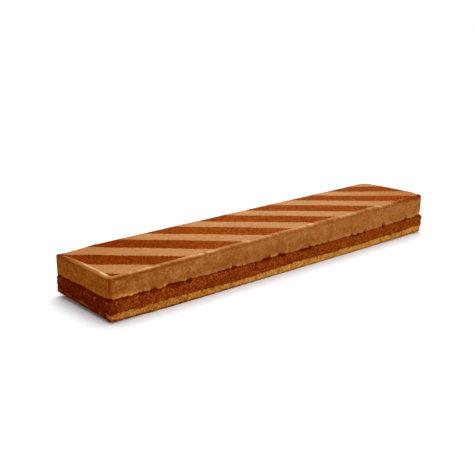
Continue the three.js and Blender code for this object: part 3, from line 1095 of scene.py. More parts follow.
@dataclass
class MousseLayer(Layer):
    """The milk chocolate mousse: knife marks on its sides, a torn foot and a raised rim.

    Thorns are narrow light marks where mousse was pulled upwards, and lumps are lighter places
    just above the foot; both stand out, and their lightness is partly smeared mousse and partly
    painted highlight. A lump has its middle and half its width. Both are distances from the
    left end.
    """

    step: float = 0.6
    rows: int = 28
    row_power: float = 1.2
    stripes: "CocoaStripes" = field(kw_only=True)
    rim_shares: tuple = (0, 0.03, 0.08, 0.16, 0.28, 0.42, 0.56, 0.68, 0.76, 0.83, 0.9, 0.95, 1)
    foot_gap: float = 0.12
    end_face: float = 1.2
    groove_drop: float = 1.9
    lip_drop: float = 0.85
    knife_depth: float = 0.05
    pit_spacing: float = 5.0
    pit_depth: float = 0.3
    thorns: tuple = (50.0, 94.5, 118.5, 180.0)
    lumps: tuple = ((20, 15), (88, 7), (106, 14), (170, 5))

    def foot(self, plan: Array) -> Array:
        """Height of the mousse's torn edge."""
        return self.form.crunch_edge(plan) + self.form.seam + self.form.tear(plan)

    def lowest(self, plan: Array) -> Array:
        """Height of the wall's lowest row, just above the torn edge."""
        return self.foot(plan) + self.foot_gap

    def groove(self, plan: Array) -> Array:
        """Height of the groove under the rim."""
        return self.form.top(plan) - self.groove_drop - self.form.lip_sag(plan)

    def recess(self) -> tuple[Array, dict]:
        """Works out the three rings between the crunch and the mousse's torn edge.

        The first lies on the crunch, behind its face. The second is the top of a low back wall
        that shows where the mousse is torn, and the third is the torn edge. Painted shade darkens
        all three, most the first two.

        Returns:
            The points and their masks.
        """
        form = self.form
        ring, out = self.ring(form.mousse_margins(0))
        plan = lift(ring, 0.0)
        seam, foot = form.crunch_edge(plan) + form.seam, self.foot(plan)
        behind = form.foot_inset(plan)
        heights = np.stack([seam, np.maximum(seam, foot - 0.2), foot])
        insets = np.stack([behind + 0.35, behind + 0.15, 0 * behind + 0.1])
        rings = lift(np.broadcast_to(ring, (3, *ring.shape)), heights)
        hollow = np.array([1.0, 0.95, 0.45])[:, None]
        return pushed(rings, out, insets), {"hollow": hollow, "tone": 0.5}

    def knife_marks(self, points: Array) -> Array:
        """Noise that is six times longer upright than across or more, in some places only."""
        marks = waves(points, (1, (1.5, 1.5, 9), 42), (0.6, (0.8, 0.8, 6), 43))
        return marks * smooth(noise(points, (30, 30, 18), 48), -0.3, 0.5)

    def foot_marks(self, face: Face, above: Array, torn: Array) -> tuple[Array, Array, Array]:
        """Works out what stands out just above the torn edge.

        Args:
            face: The wall.
            above: Height over the torn edge.
            torn: 1 above tears, and 0 elsewhere.

        Returns:
            The band above the edge, the lobes in it where mousse was dragged down, and the
            thorns where it was pulled up.
        """
        front = self.form.on_front(face.points)
        lobes = smooth(noise(face.points, (5, 5, 9), 46), -0.25, 0.45)
        band = smooth(above, 0, 0.5) * fall(above, 1.2, 3.2)
        lumps = sum(hump(face.left, place, width) for place, width in self.lumps) * front
        lobes = lobes * band * (0.35 + 0.65 * unit(lumps)) * (1 - 0.8 * torn)
        thorns = sum(hump(face.left, place, 0.9) for place in self.thorns) * front
        thorns = thorns * fall(above, 2.0, 5.5) * (1 - 0.7 * torn)
        return band, lobes * smooth(face.left, 1.0, 5.0), thorns

    def wall(self) -> tuple[Array, dict]:
        """Works out the cut face from the torn edge up to the groove under the rim.

        Each point lies behind the cut by slow waves, by knife marks and by small pits, which
        painted shade darkens. Lobes and thorns stand out and are lighter, partly smeared mousse
        and partly painted highlight, and a band just above the torn edge has painted highlight.
        The face draws back above tears, in a notch at the right end and close to the groove, and
        painted shade darkens these places and the left end.

        Returns:
            The points and their masks.
        """
        form = self.form
        face = self.face(self.lowest, self.groove, form.mousse_margins(0))
        points, share, left = face.points, face.share, face.left
        above, right = face.above + self.foot_gap, face.right - form.setback
        front, on_left = form.on_front(points), fall(left, 1.0, 5.0)
        torn = smooth(form.tear(face.plan), 0.3, 0.9) * front
        knife = self.knife_marks(points)
        distance, _ = granules(points, self.pit_spacing, 45)
        pits = fall(distance, 0.03, 0.11)
        band, lobes, thorns = self.foot_marks(face, above, torn)
        notch = fall(right, 0.8, 3.0) * hump(above, 1.2, 1.6)
        inset = 0.12 + waves(points, (0.13, (16, 16, 10), 41), (0.04, 1.0, 44))
        inset += self.knife_depth * knife + self.pit_depth * pits
        inset -= 0.55 * on_left * form.across(points) + 0.35 * lobes + 0.3 * thorns
        inset += 1.3 * notch + 0.35 * torn * fall(above, 0.5, 3.5)
        inset += (0.2 - 0.1 * on_left) * smooth(share, 0.95, 1)
        corner = smooth(-points[..., 1] - form.outline.width / 2, -2.4, -1.0)
        corner = corner * hump(left, 0.3, 1.8)
        # Painted shade: a line under the lip, lines down both front corners, patches above tears.
        line = smooth(share, 0.87 - 0.04 * fall(left, 40, 90), 0.97)
        shade_marks = (
            line * self.line_strength(face.plan),
            corner * smooth(share, 0.0, 0.4),
            0.55 * torn * fall(above, 1.0, 3.6),
            0.9 * hump(right, 1.0, 1.0) * front * smooth(share, 0.1, 0.4),
        )
        masks = {
            # Painted shade darkens pits, and painted highlight lightens the band above the torn
            # edge.
            "tone": unit(self.tone(points, knife) - 0.3 * pits + 0.08 * band),
            "skin": unit(np.maximum.reduce(shade_marks)),
            "deep": unit(self.deep(points)),
            "smear": unit(0.8 * lobes + thorns),
            "dust": corner * smooth(share, 0.1, 0.4),
            # Painted shade in the recess above tears and in the notch at the right end.
            "hollow": unit(0.8 * torn * fall(above, 0.0, 0.7) + 0.8 * notch),
        }
        return pushed(points, face.out, inset), masks

    def dip(self, points: Array) -> Array:
        """A darker band along the wall, weaker to the right."""
        fading = 1 - 0.8 * smooth(self.form.from_left(points), 180, 260)
        return hump(points[..., 2], self.form.crunch_top + 6.5, 4.5) * fading

    def tone(self, points: Array, knife: Array) -> Array:
        """Works out the wall's tone: mottles that are strongest at the left.

        Args:
            points: Places on the wall.
            knife: The knife marks there.

        Returns:
            One tone for each point.
        """
        left, height = self.form.from_left(points), points[..., 2] - self.form.crunch_top
        strength = 1.1 - 0.35 * smooth(left, 60, 130) - 0.1 * smooth(left, 200, 300)
        mottles = 0.4 * fractal(points, 4.5, 3, 50) + 0.18 * fractal(points, 17, 2, 49)
        mottles += 0.32 * fall(left, 60, 140) * noise(points, 1.2, 68) + 0.12 * knife
        mottles += 0.2 * fall(left, 1.0, 5.0)
        upper = smooth(height, 8, 13) * fall(left, 25, 60)
        return 0.52 + strength * mottles - 0.2 * self.dip(points) - 0.2 * upper

    def deep(self, points: Array) -> Array:
        """Works out how much deeper the wall's colour is.

        It is full on the left end, where it is painted shade: that end face lies in shade and
        gets a darker, more saturated colour. It falls off exponentially from both front corners.
        The lower part is deeper too, and so are clouds of noise.

        Args:
            points: Places on the wall.

        Returns:
            One number for each point.
        """
        form, height = self.form, points[..., 2]
        left, right = form.from_left(points), form.from_right(points) - form.setback
        upper = smooth(height, form.crunch_top + 3, form.crunch_top + 15)
        ends = (0.3 + 0.6 * upper) * np.exp(-left / 11) + 0.5 * np.exp(-right / 4) + 0.05
        deep = np.where(left < self.end_face, 0.85 + 0.3 * noise(points, 3, 64), ends)
        deep += 0.15 * fall(height, 25, 34) * smooth(left, 180, 260)
        deep += 0.25 * fall(height, 20, 27) * fall(left, 40, 100)
        return deep + 0.2 * self.dip(points) + 0.55 * fractal(points, 5, 3, 65)

    def line_strength(self, plan: Array) -> Array:
        """Strength of the painted shade line under the rim's lip, which is most near both ends.

        Args:
            plan: Places, with x and y first in the last dimension.

        Returns:
            One number for each point.
        """
        form, across = self.form, self.form.across(plan)
        left, right = form.from_left(plan), form.from_right(plan)
        front = 0.4 + 0.6 * fall(left, 35, 85) + 0.5 * fall(right, 15, 55)
        front = front * (1.0 + 0.5 * noise(plan, 7, 47))
        at_left = 0.2 + 0.8 * hump(across, 0.7, 0.1) + 0.5 * fall(across, 0.02, 0.2)
        return unit(np.where(left < self.end_face, at_left, front))

    def rim(self, share: float) -> tuple[Array, dict]:
        """Works out one ring of the rim.

        Its drop below the nominal height falls off exponentially from the lip, and then grows
        along a smooth step to the level of the powdered surface. On the left end the rim
        slopes up from its lip to a ridge near its inner edge. Streaks make it uneven.

        Args:
            share: 0 at the cut face and 1 at the rim's inner edge.

        Returns:
            The points and their masks.
        """
        form = self.form
        ring, out = self.ring(form.mousse_margins(share))
        plan = lift(ring, 0.0)
        along, across, on_left = form.from_left(plan), form.across(plan), form.on_left(plan)
        from_front = across * form.outline.width
        at_back = on_left * smooth(across, 0.72, 0.95)
        left = on_left * smooth(from_front, 0, 7) * (1 - at_back)
        wide = form.on_front(plan) | on_left
        steepness = np.where(wide, form.rim.front / (0.45 + 0.0015 * along), 3.3)
        near_lip = np.exp(-share * steepness)
        inward = smooth(share, 0.35, 1.0)
        at_corner = smooth(along, 360, 384) * fall(from_front, 4, 14)
        level = inward + (1 - inward) * np.maximum(at_back, at_corner)
        lip_drop = self.lip_drop + form.lip_sag(self.ring()[0])
        plain = lip_drop * near_lip * (1 - 0.7 * at_back) + form.rim_rise * level
        ridge = 1.0 - 1.05 * smooth(share, 0, 0.7) + 0.55 * smooth(share, 0.84, 1)
        ridge = ridge - 0.12 * hump(share, 0.8, 0.08)
        inner = math.sin(math.pi * share)
        plain = plain - inner * waves(plan, (0.1, (14, 1.3, 5), 51), (0.08, 3, 52))
        ridge = ridge - inner * waves(plan, (0.16, (1.1, 9, 5), 53), (0.06, 2, 54))
        height = form.top(plan) - plain * (1 - left) - ridge * left
        wobble = waves(plan, (0.1, 5, 56), (0.06, 1.6, 57)) * near_lip
        place = pushed(lift(ring, height), out, wobble)
        return place[None], self.rim_masks(plan, share, left, near_lip)

    def rim_masks(self, plan: Array, share: float, left: Array, near_lip: Array) -> dict:
        """Masks of one ring of the rim.

        Args:
            plan: The ring's points at height 0.
            share: 0 at the cut face and 1 at the rim's inner edge.
            left: 1 on the left end's rim, and 0 elsewhere.
            near_lip: 1 at the cut face, falling off inwards.

        Returns:
            One number or array for each mask.
        """
        form = self.form
        across, along = form.across(plan), form.from_left(plan)
        front = form.on_front(plan) * (1 - left)
        powder = self.stripes.powder(plan + np.array([3.0, 0, 0])) * front
        # Painted highlights: a wide one on the front lip where no stripe meets it, one on the
        # left ridge.
        lip_glint = 0.42 * hump(share, 0.5, 0.5) * (0.8 + 0.5 * noise(plan, 4, 58))
        middle = smooth(along, 10, 26) * fall(along, 300, 350)
        lip_glint = lip_glint * middle * (1 - powder) * front
        ridge_glint = left * hump(share, 0.73, 0.27) * (0.8 + 0.35 * noise(plan, 6, 59))
        ridge_glint = ridge_glint * smooth(across, 0.0, 0.12) * fall(across, 0.3, 0.75)
        corner = form.on_left(plan) * smooth(across, 0.62, 0.85)
        corner = corner * (1 - 0.5 * hump(share, 0.55, 0.2) * (across < 0.92))
        corner = corner + smooth(along, 362, 382) * fall(across, 0.02, 0.2)
        back = (across > 0.9) * 0.55 * self.stripes.powder(plan)
        # Painted shade by the lip, and at both ends of the front rim.
        fading = smooth(along, 325, 365) + 0.35 * fall(along, 6, 18)
        skin = near_lip * (0.5 * self.line_strength(plan) + 0.25)
        skin = skin + fading * front * (1 - 0.5 * share)
        return {
            "tone": unit(0.5 + 0.5 * noise(plan, (2, 9, 5), 60)),
            # Less of the top colour and a deeper colour on the left rim and by the lip: painted
            # shade.
            "top": 1 - 0.55 * left - 0.25 * near_lip - 0.25 * powder,
            "deep": 0.4 * left + 0.35 * near_lip * front,
            "skin": unit(skin),
            "dust": unit(0.85 * corner + back),
            "glint": unit(lip_glint + ridge_glint),
        }

    def top_masks(self, plan: Array) -> dict:
        """Masks of the flat top: a painted sheen, paler to the back and the right, and a deeper
        colour at both ends, partly painted shade.

        Args:
            plan: Places at height 0.

        Returns:
            One number or array for each mask.
        """
        left, across = self.form.from_left(plan), self.form.across(plan)
        at_right = smooth(left, 290, 380) * (1 - 0.8 * across)
        # A painted sheen, paler to the back and the right.
        pale = 0.08 + (0.05 + 0.12 * across**2) * smooth(left, 120, 200)
        ends = (0.12 + 0.35 * across) * fall(left, 25, 110) + 0.4 * at_right
        return {"top": 1.0, "glint": pale * (1 - at_right), "deep": ends}

    def top_grid(self, made: Surface, border: Array, corners: Array) -> None:
        """Fills the top inside a ring with a grid.

        A point is blended from the four borders: the sum of the blends from front to back and
        from left to right, less the blend of the four corners.

        Args:
            made: The surface to add to.
            border: The ring's point numbers, counter-clockwise from the front left corner.
            corners: Where in the ring each side starts, and the ring's length.
        """
        front, right, back, left = (
            np.append(border, border[0])[a : b + 1] for a, b in zip(corners[:-1], corners[1:])
        )
        back, left = back[::-1], left[::-1]
        known = np.vstack(made.points)
        u = np.linspace(0, 1, len(front))[None, :, None]
        v = np.linspace(0, 1, len(right))[:, None, None]
        places = (1 - v) * known[front] + v * known[back]
        places = places + (1 - u) * known[left][:, None] + u * known[right][:, None]
        lower = (1 - u) * known[front[0]] + u * known[front[-1]]
        upper = (1 - u) * known[back[0]] + u * known[back[-1]]
        places = places - (1 - v) * lower - v * upper
        plan = lift(places[1:-1, 1:-1, :2], 0.0)
        height = self.form.top(plan) - self.form.rim_rise + 0.035 * fractal(plan, 14, 3, 55)
        tone = unit(0.5 + 0.12 * fractal(plan, 20, 3, 61))
        numbers = np.zeros((len(right), len(front)), int)
        inner = lift(plan[..., :2], height)
        numbers[1:-1, 1:-1] = made.add_points(inner, tone=tone, **self.top_masks(plan))
        numbers[0], numbers[-1] = front, back
        numbers[:, 0], numbers[:, -1] = left, right
        made.add_grid(numbers, closed=False)

    def close_top(self, made: Surface, edge: Array) -> None:
        """Adds a ring with every second point just inside the rim, and the grid inside it.

        Args:
            made: The surface to add to.
            edge: Point numbers of the rim's inner edge.
        """
        form = self.form
        kept = form.outline.places(self.step)[0::2]
        ring, _ = form.outline.ring(kept, form.mousse_margins(1, more=0.8))
        plan = lift(ring, 0.0)
        level = form.top(plan) - form.rim_rise
        coarse = made.add_points(lift(ring, level), tone=0.5, **self.top_masks(plan))
        made.add_thinning(edge, coarse)
        middles = np.flatnonzero((kept[:, 1] == 0.5) & (kept[:, 2] == 0))
        corners = (middles[[3, 0, 1, 2]] - middles[3]) % len(coarse)
        self.top_grid(made, np.roll(coarse, -middles[3]), np.append(corners, len(coarse)))

    def build(self, material: bpy.types.Material) -> None:
        """Makes the piece: lower strip, recess, wall, rim, a thinned ring and the top's grid.

        Args:
            material: The mousse's finish.
        """
        strip = self.strip(self.form.crunch_top + self.form.seam)
        rims = (self.rim(share) for share in self.rim_shares)
        made = Surface(MOUSSE.masks())
        blocks = ((strip, {"hollow": 1.0}), self.recess(), self.wall(), *rims)
        self.close_top(made, made.add_stack(*blocks, closed_above=False))
        made.make("mousse_body", material, "mousse", ("mousse_layer",))


@dataclass
class CocoaStripes:
    """Slanted stripes of cocoa powder, sieved on through a stencil.

    Trims are stripes that start late: each has its number and where in its width it starts.
    """

    form: CakeForm
    count: int = 8
    period: float = 60.0
    width: float = 32.0
    sliver_width: float = 30.6
    first: float = -11.4
    clear: float = 0.2
    thick: float = 0.28
    thinnest: float = 0.03
    under: float = 0.12
    slope: float = 1.6
    fringe: float = 2.5
    cell: float = 0.75
    narrowest: float = 0.3
    lead: float = 1.4
    stray: float = 2.6
    trims: tuple = ((0, 24.6), (6, 2.4))

    def limits(self) -> tuple[float, float, float]:
        """Works out where the powder ends.

        Returns:
            Its ends at the left and at the right, as distances from the left end, and its end
            at the back, as a distance from the front side.
        """
        form = self.form
        right = form.outline.length - form.setback - form.rim.right - self.clear
        return form.rim.left + self.clear, right, form.outline.width - form.rim.back - self.clear

    def powder(self, plan: Array) -> Array:
        """Works out where a stripe lies or would lie beyond the powder's limits.

        Args:
            plan: Places, with x and y first in the last dimension.

        Returns:
            1 in stripes and 0 between them, with soft edges.
        """
        key = self.form.from_left(plan) + plan[..., 1] + self.form.outline.width / 2
        place = (key - self.first) % self.period
        return smooth(place, -0.4, 0.6) * fall(place, self.width - 0.6, self.width + 0.4)

    def line(self, front: Array) -> tuple[Array, Array]:
        """Where the line that starts at front on the front edge enters and leaves the powder.

        The line goes back and to the left at 45 degrees, so its distance from the left end is
        front less its distance from the front.

        Args:
            front: Distances from the left end, in millimetres.

        Returns:
            The distances from the front side where each line starts and ends.
        """
        left, right, back = self.limits()
        rim, outline = self.form.rim, self.form.outline
        fade = outline.fade(unit(front / outline.length))
        edge = rim.front + (rim.front_end - rim.front) * fade + self.clear
        return np.maximum(edge, front - right), np.minimum(back, front - left)

    def edges(self, index: int) -> tuple[float, float]:
        """Where in its width a stripe starts and ends."""
        return dict(self.trims).get(index, 0), self.width if index else self.sliver_width

    def plan(self, index: int) -> tuple[Array, Array, Array]:
        """Points of one stripe seen from above.

        Args:
            index: Which stripe, from the left.

        Returns:
            The points as rows by columns, and each point's distance in millimetres from the
            stripe's long edges and from its ends.
        """
        left, right, back = self.limits()
        start = self.first + index * self.period
        low, high = self.edges(index)
        low = max(low, left + self.form.rim.front + self.clear - start + self.narrowest)
        high = min(high, right + back - start - self.narrowest)
        across = np.linspace(low, high, 1 + max(4, round((high - low) / self.cell)))
        begin, end = self.line(start + across)
        rows = max(6, round(math.sqrt(2) * float((end - begin).max()) / self.cell))
        share = np.linspace(0, 1, rows + 1)[:, None]
        depth = begin + share * (end - begin)
        x = start + across - depth - self.form.outline.length / 2
        y = depth - self.form.outline.width / 2
        from_edge = np.minimum(across - low, high - across)[None, :] + 0 * share
        from_end = math.sqrt(2) * np.minimum(share, 1 - share) * (end - begin)
        return np.stack([x, y], -1), from_edge, from_end

    def drift(self, place: Array, share: Array) -> Array:
        """How far the stencil's edges stray along the cake, in millimetres.

        The edge on the left lies further right near the front and further left at the left
        end. The edge on the right is pinched in near the left end. Towards the back both drift
        to the left.

        Args:
            place: Points on the top.
            share: 0 on a stripe's left edge and 1 on its right edge.

        Returns:
            One shift for each point.
        """
        left = self.form.from_left(place)
        depth = self.form.across(place) * self.form.outline.width
        first = self.lead * fall(depth, 8, 24) - self.stray * fall(left, 12, 30)
        last = -self.stray * hump(left, 38, 16)
        back = smooth(depth, 42, 68) * smooth(left, 15, 50) * fall(left, 260, 320)
        return (1 - share) * first + share * last - self.stray * back

    def build_stripe(self, index: int, material: bpy.types.Material) -> None:
        """Makes one stripe.

        Its edge wanders by noise, its thickness grows from nothing over the slope beside its
        edge, and grains of half a millimetre roughen it.

        Args:
            index: Which stripe, from the left.
            material: The powder's finish.
        """
        form = self.form
        flat, from_edge, from_end = self.plan(index)
        place = lift(flat, 0.0)
        wander = waves(place, (0.35, 1.3, 61), (0.25, 6, 62)) * fall(from_edge, 0, self.fringe)
        flat[..., 0] += wander + self.drift(place, np.linspace(0, 1, place.shape[1]))
        inside = smooth(np.minimum(from_edge, from_end), 0, self.slope)
        grains = 0.75 + waves(place, (0.25, 1.0, 63), (0.3, 0.55, 64))
        thickness = self.thinnest + self.thick * inside * grains
        upper = form.top(place) - form.rim_rise + thickness
        left, across = form.from_left(place), form.across(place)
        # Painted shade: darker towards the left end and at the front of the right end.
        moist = (0.8 + 0.3 * across) * fall(left, 40, 150)
        moist += 0.35 * smooth(left, 350, 385) * (1 - across)
        tone = 0.5 + 0.25 * noise(place, 0.9, 65) + 0.2 * fractal(place, 9, 2, 66)
        masks = {
            "tone": unit(tone),
            "moist": unit(moist),
            # A painted sheen, paler towards the back right.
            "pale": 0.05 * across * smooth(left, 180, 260),
        }
        made = Surface(COCOA.masks())
        numbers = made.add_points(lift(flat, upper), **masks)
        made.add_grid(numbers, closed=False)
        sides = (numbers[0, :-1], numbers[:-1, -1], numbers[-1, :0:-1], numbers[:0:-1, 0])
        loop = np.concatenate(sides)
        border = np.vstack(made.points)[loop]
        sunk = made.add_points(border - np.array([0, 0, self.under]), tone=0.5)
        made.add_grid(np.stack([sunk, loop]), closed=True)
        made.add_cap(sunk, upward=False)
        made.make(f"cocoa_powder_{index}", material, "cocoa", (f"cocoa_stripe_{index}",))

    def build(self, material: bpy.types.Material) -> None:
        """Makes all stripes."""
        for index in range(self.count):
            self.build_stripe(index, material)


# Scattered bits


class Ball(Enum):
    """Plain balls that a lump can start from, by their number of triangles."""

    COARSE = 8
    ROUND = 20


@dataclass(frozen=True)
class Bits:
    """Many small rough lumps in one mesh.

    A lump is a coarse or round ball whose corners are pushed in and out at random, stretched
    differently in each direction and turned.
    """

    seed: int
    shape: Ball = Ball.COARSE
    roughness: float = 0.28

    def ball(self) -> tuple[Array, Array]:
        """Works out the plain ball.

        The corners of the coarse ball lie on the six half axes. Those of the round ball are
        the corners of three rectangles at right angles, each as much longer than wide as the
        golden ratio. Three corners that are next to each other make a triangle.

        Returns:
            The corners, and the triangles as rows of corner numbers.
        """
        corners = np.vstack([np.eye(3), -np.eye(3)])
        if self.shape is Ball.ROUND:
            golden = (1 + math.sqrt(5)) / 2
            rectangle = np.array([(0, a, b * golden) for a in (-1, 1) for b in (-1, 1)])
            corners = np.vstack([rectangle, rectangle[:, [1, 2, 0]], rectangle[:, [2, 0, 1]]])
        gaps = np.linalg.norm(corners[:, None] - corners[None], axis=-1)
        near = gaps < 1.1 * gaps[gaps > 0].min()
        faces = []
        for a, b, c in combinations(range(len(corners)), 3):
            if near[a, b] and near[b, c] and near[a, c]:
                turn = np.dot(np.cross(corners[a], corners[b]), corners[c])
                faces.append((a, b, c) if turn > 0 else (a, c, b))
        return corners / np.linalg.norm(corners[0]), np.array(faces)

    def surface(self, names: tuple, centres: Array, sizes: Array, squash: Array,
                **masks: Array) -> Surface:
        """Joins one lump at each centre.

        Args:
            names: Masks that the material reads.
            centres: Middles of the lumps, in millimetres.
            sizes: Their diameters.
            squash: Stretch in three directions, for each lump.
            masks: One number for each lump.

        Returns:
            The surface.
        """
        rng = np.random.default_rng(self.seed)
        corners, faces = self.ball()
        count = len(centres)
        rough = 1 + self.roughness * rng.uniform(-1, 1, (count, len(corners), 1))
        lumps = corners[None] * rough * squash[:, None, :] * sizes[:, None, None] / 2
        axes, _ = np.linalg.qr(rng.normal(size=(count, 3, 3)))
        axes[:, 0] *= np.sign(np.linalg.det(axes))[:, None]
        lumps = lumps @ axes + centres[:, None]
        made = Surface(names)
        each = {name: values[:, None] for name, values in masks.items()}
        numbers = made.add_points(lumps, **each)
        made.faces.append(numbers[:, faces].reshape(-1, 3))
        return made


@dataclass
class FaceBits:
    """Small lumps at random places of a layer's cut face, half sunk into it.

    Their sizes are least_size plus up to size_range, and most are small.
    """

    layer: SpongeBase | CrunchLayer
    count: int
    seed: int
    least_size: float
    size_range: float
    proud: float = 0.05

    def scatter(
        self, rng: np.random.Generator, first: int, last: int
    ) -> tuple[Array, Array, dict]:
        """Picks places and sizes.

        Args:
            rng: Where the random draws come from.
            first: The lowest row that may hold a lump.
            last: How many of the highest rows hold none.

        Returns:
            The lumps' middles and sizes, and each mask of the face at these places.
        """
        wall, out, masks = self.layer.wall()
        rows = rng.integers(first, len(wall) - last, self.count)
        columns = rng.integers(0, len(out), self.count)
        sizes = self.least_size + self.size_range * rng.beta(1.5, 4, self.count)
        centres = wall[rows, columns]
        centres[:, :2] += out[columns] * (self.proud * sizes)[:, None]
        return centres, sizes, {name: mask[rows, columns] for name, mask in masks.items()}


@dataclass
class CrunchBits(FaceBits):
    """Chips of crunch and cereal that stand out of the cut crunch face."""

    count: int = 3200
    seed: int = 71
    least_size: float = 0.7
    size_range: float = 1.5
    pale_share: float = 0.1

    def build(self, material: bpy.types.Material) -> None:
        """Makes the chips, a few of them pale.

        Args:
            material: The crunch's finish.
        """
        rng = np.random.default_rng(self.seed)
        centres, sizes, masks = self.scatter(rng, first=1, last=2)
        pale = rng.random(self.count) < self.pale_share
        light, dark = (rng.uniform(*span, self.count) for span in ((0.7, 1), (0.1, 0.6)))
        squash = rng.uniform(0.55, 1.15, (self.count, 3))
        wet = masks["wet"] * rng.uniform(0.7, 1.1, self.count)
        lumps = Bits(self.seed, Ball.ROUND)
        tone = np.where(pale, light, dark)
        made = lumps.surface(CRUNCH.masks(), centres, sizes, squash, tone=tone, wet=wet)
        made.make("crunch_chips", material, "crunch", flat=True)


@dataclass
class SpongeCrumbs(FaceBits):
    """Small crumbs that cling to the sponge's cut face."""

    count: int = 1600
    seed: int = 81
    least_size: float = 0.4
    size_range: float = 0.8
    dark_share: float = 0.12

    def build(self, material: bpy.types.Material) -> None:
        """Makes the crumbs, none of them lower than the surface that the cake stands on.

        Args:
            material: The sponge's finish.
        """
        rng = np.random.default_rng(self.seed)
        centres, sizes, masks = self.scatter(rng, first=0, last=0)
        centres[:, 2] = np.maximum(centres[:, 2], 0.6 * sizes)
        squash = rng.uniform(0.7, 1.1, (self.count, 3))
        dark = (rng.random(self.count) < self.dark_share) * 0.8
        masks["browned"] = np.maximum(masks["browned"], dark)
        masks["tone"] = rng.uniform(0.3, 0.9, self.count)
        made = Bits(self.seed).surface(SPONGE.masks(), centres, sizes, squash, **masks)
        made.make("sponge_bits", material, "sponge")


@dataclass
class CocoaGrains:
    """Loose grains of cocoa: most lie close to a stripe's edge, and some anywhere on top."""

    stripes: CocoaStripes
    count: int = 5200
    seed: int = 91
    mean_reach: float = 0.9
    loose_share: float = 0.12
    least_size: float = 0.25
    size_range: float = 0.35

    def places(self, rng: np.random.Generator) -> Array:
        """Picks places on the top.

        A grain's key is where the slanted line through it meets the front edge. It is a
        stripe's edge plus or less a distance that follows an exponential distribution.

        Args:
            rng: Where the random draws come from.

        Returns:
            Points with two columns.
        """
        stripes, form = self.stripes, self.stripes.form
        left, right, back = stripes.limits()
        edges = np.array([stripes.edges(index) for index in range(stripes.count)])
        index = rng.integers(0, stripes.count, self.count)
        side = rng.integers(0, 2, self.count)
        away = rng.exponential(self.mean_reach, self.count) * np.where(side, 1, -1)
        key = stripes.first + stripes.period * index + edges[index, side] + away
        loose = rng.random(self.count) < self.loose_share
        key = np.where(loose, rng.uniform(0, right + back, self.count), key)
        depth = rng.uniform(form.rim.front + 0.3, back, self.count)
        x = key - depth - form.outline.length / 2
        flat = np.column_stack([x, depth - form.outline.width / 2])
        flat[:, 0] += stripes.drift(flat, side)
        along = form.from_left(flat)
        return flat[(along > left) & (along < right)]

    def build(self, material: bpy.types.Material) -> None:
        """Makes the grains.

        Args:
            material: The cocoa's finish.
        """
        rng = np.random.default_rng(self.seed)
        form, flat = self.stripes.form, self.places(rng)
        count = len(flat)
        sizes = self.least_size + self.size_range * rng.beta(1.5, 3, count)
        centres = lift(flat, form.top(flat) - form.rim_rise + 0.25 * sizes)
        squash = rng.uniform(0.7, 1.1, (count, 3))
        tone = rng.uniform(0.3, 0.8, count)
        made = Bits(self.seed).surface(COCOA.masks(), centres, sizes, squash, tone=tone)
        made.make("cocoa_grains", material, "cocoa")


# Floor, light and camera


@dataclass(frozen=True)
class Sun:
    """A soft light from far away, with the direction that it comes from."""

    name: str
    direction: tuple
    angle: float
    strength: float
    colour: tuple = (1, 1, 1)

    def build(self) -> None:
        """Adds the light."""
        lamp = bpy.data.lights.new(self.name, "SUN")
        lamp.energy = self.strength
        lamp.angle = self.angle
        lamp.color = self.colour
        turn = Vector(self.direction).to_track_quat("Z", "Y")
        add_object(self.name, lamp).rotation_euler = turn.to_euler()


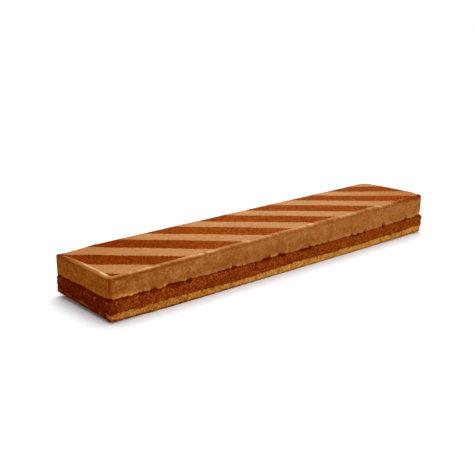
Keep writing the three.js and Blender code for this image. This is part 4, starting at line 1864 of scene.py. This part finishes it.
@dataclass(frozen=True)
class Studio:
    """A white floor, a soft high light from the right and the photograph's camera."""

    floor_size: float = 6.0
    floor_white: tuple = (0.745, 0.76, 0.775)
    floor_roughness: float = 0.9
    floor_specular: float = 0.1
    azimuth: float = -41.612
    elevation: float = 16.284
    roll: float = 0.295
    lens: float = 55.52
    sensor: float = 36.0
    nearest: float = 0.01
    place: tuple = (-0.46178, -0.48138, 0.21647)
    suns: tuple = (
        Sun("key_light", (0.38, 0.28, 0.88), 1.25, 2.9),
        Sun("top_light", (0.20, 0.20, 0.96), 0.45, 0.75),
        Sun("front_light", (0.12, -0.93, 0.35), 0.8, 2.12),
        Sun("left_light", (-0.86, -0.28, 0.42), 0.9, 0.45, (1, 0.55, 0.45)),
    )
    sky_strength: float = 0.4
    sky_colour: tuple = (0.92, 0.96, 0.98)

    def floor(self) -> None:
        """Makes the floor: a square at height 0."""
        half = self.floor_size / 2
        mesh = bpy.data.meshes.new("floor")
        corners = [(-half, -half, 0), (half, -half, 0), (half, half, 0), (-half, half, 0)]
        mesh.from_pydata(corners, [], [(0, 1, 2, 3)])
        material = bpy.data.materials.new("white_floor")
        material.use_nodes = True
        inputs = material.node_tree.nodes["Principled BSDF"].inputs
        inputs["Base Color"].default_value = rgba(self.floor_white)
        inputs["Roughness"].default_value = self.floor_roughness
        inputs["Specular IOR Level"].default_value = self.floor_specular
        mesh.materials.append(material)
        add_object("floor", mesh)

    def sky(self) -> None:
        """Adds a sky that the camera sees as plain white."""
        world = bpy.data.worlds.new("studio")
        world.use_nodes = True
        graph = Graph(world.node_tree)
        graph.tree.nodes.clear()
        seen = graph.node("ShaderNodeLightPath").outputs["Is Camera Ray"]
        skies = ((self.sky_colour, self.sky_strength), ((1, 1, 1), 1.0))
        sky, white = (
            graph.node("ShaderNodeBackground", {"Color": rgba(colour), "Strength": strength})
            for colour, strength in skies
        )
        inputs = {0: seen, 1: sky.outputs[0], 2: white.outputs[0]}
        both = graph.node("ShaderNodeMixShader", inputs)
        end = graph.node("ShaderNodeOutputWorld")
        graph.tree.links.new(both.outputs[0], end.inputs["Surface"])
        bpy.context.scene.world = world

    def camera(self) -> None:
        """Places the camera where it sees what the photograph shows.

        Its back axis comes from azimuth and elevation. The axes to the right and upwards are
        then turned round it by the roll.
        """
        a, e, r = (math.radians(v) for v in (self.azimuth, self.elevation, self.roll))
        back = Vector((math.sin(a) * math.cos(e), -math.cos(a) * math.cos(e), math.sin(e)))
        right = Vector((math.cos(a), math.sin(a), 0))
        up = back.cross(right)
        tilted_right = right * math.cos(r) + up * math.sin(r)
        tilted_up = up * math.cos(r) - right * math.sin(r)
        axes = Matrix((tilted_right, tilted_up, back)).transposed().to_4x4()
        lens = bpy.data.cameras.new("camera")
        lens.lens = self.lens
        lens.sensor_width = self.sensor
        lens.clip_start = self.nearest
        camera = add_object("camera", lens)
        camera.matrix_world = Matrix.Translation(self.place) @ axes
        bpy.context.scene.camera = camera

    def build(self) -> None:
        """Sets up floor, lights, sky, camera and a plain display of colours."""
        self.floor()
        for sun in self.suns:
            sun.build()
        self.sky()
        self.camera()
        bpy.context.scene.view_settings.view_transform = "Standard"
        LOG.info("studio: floor, light and camera")


def main() -> None:
    """Builds the cake from below, each layer with its loose bits, and the studio round it."""
    logging.basicConfig(level=logging.INFO, format="%(name)s %(message)s")
    form = CakeForm.from_frame()
    grain = grain_group()
    mousse, crunch, sponge, cocoa = (f.build(grain) for f in (MOUSSE, CRUNCH, SPONGE, COCOA))
    base, middle, stripes = SpongeBase(form), CrunchLayer(form), CocoaStripes(form)
    base.build(sponge)
    SpongeCrumbs(base).build(sponge)
    middle.build(crunch)
    CrunchBits(middle).build(crunch)
    MousseLayer(form, stripes=stripes).build(mousse)
    stripes.build(cocoa)
    CocoaGrains(stripes).build(cocoa)
    Studio().build()


if __name__ == "__main__":
    main()
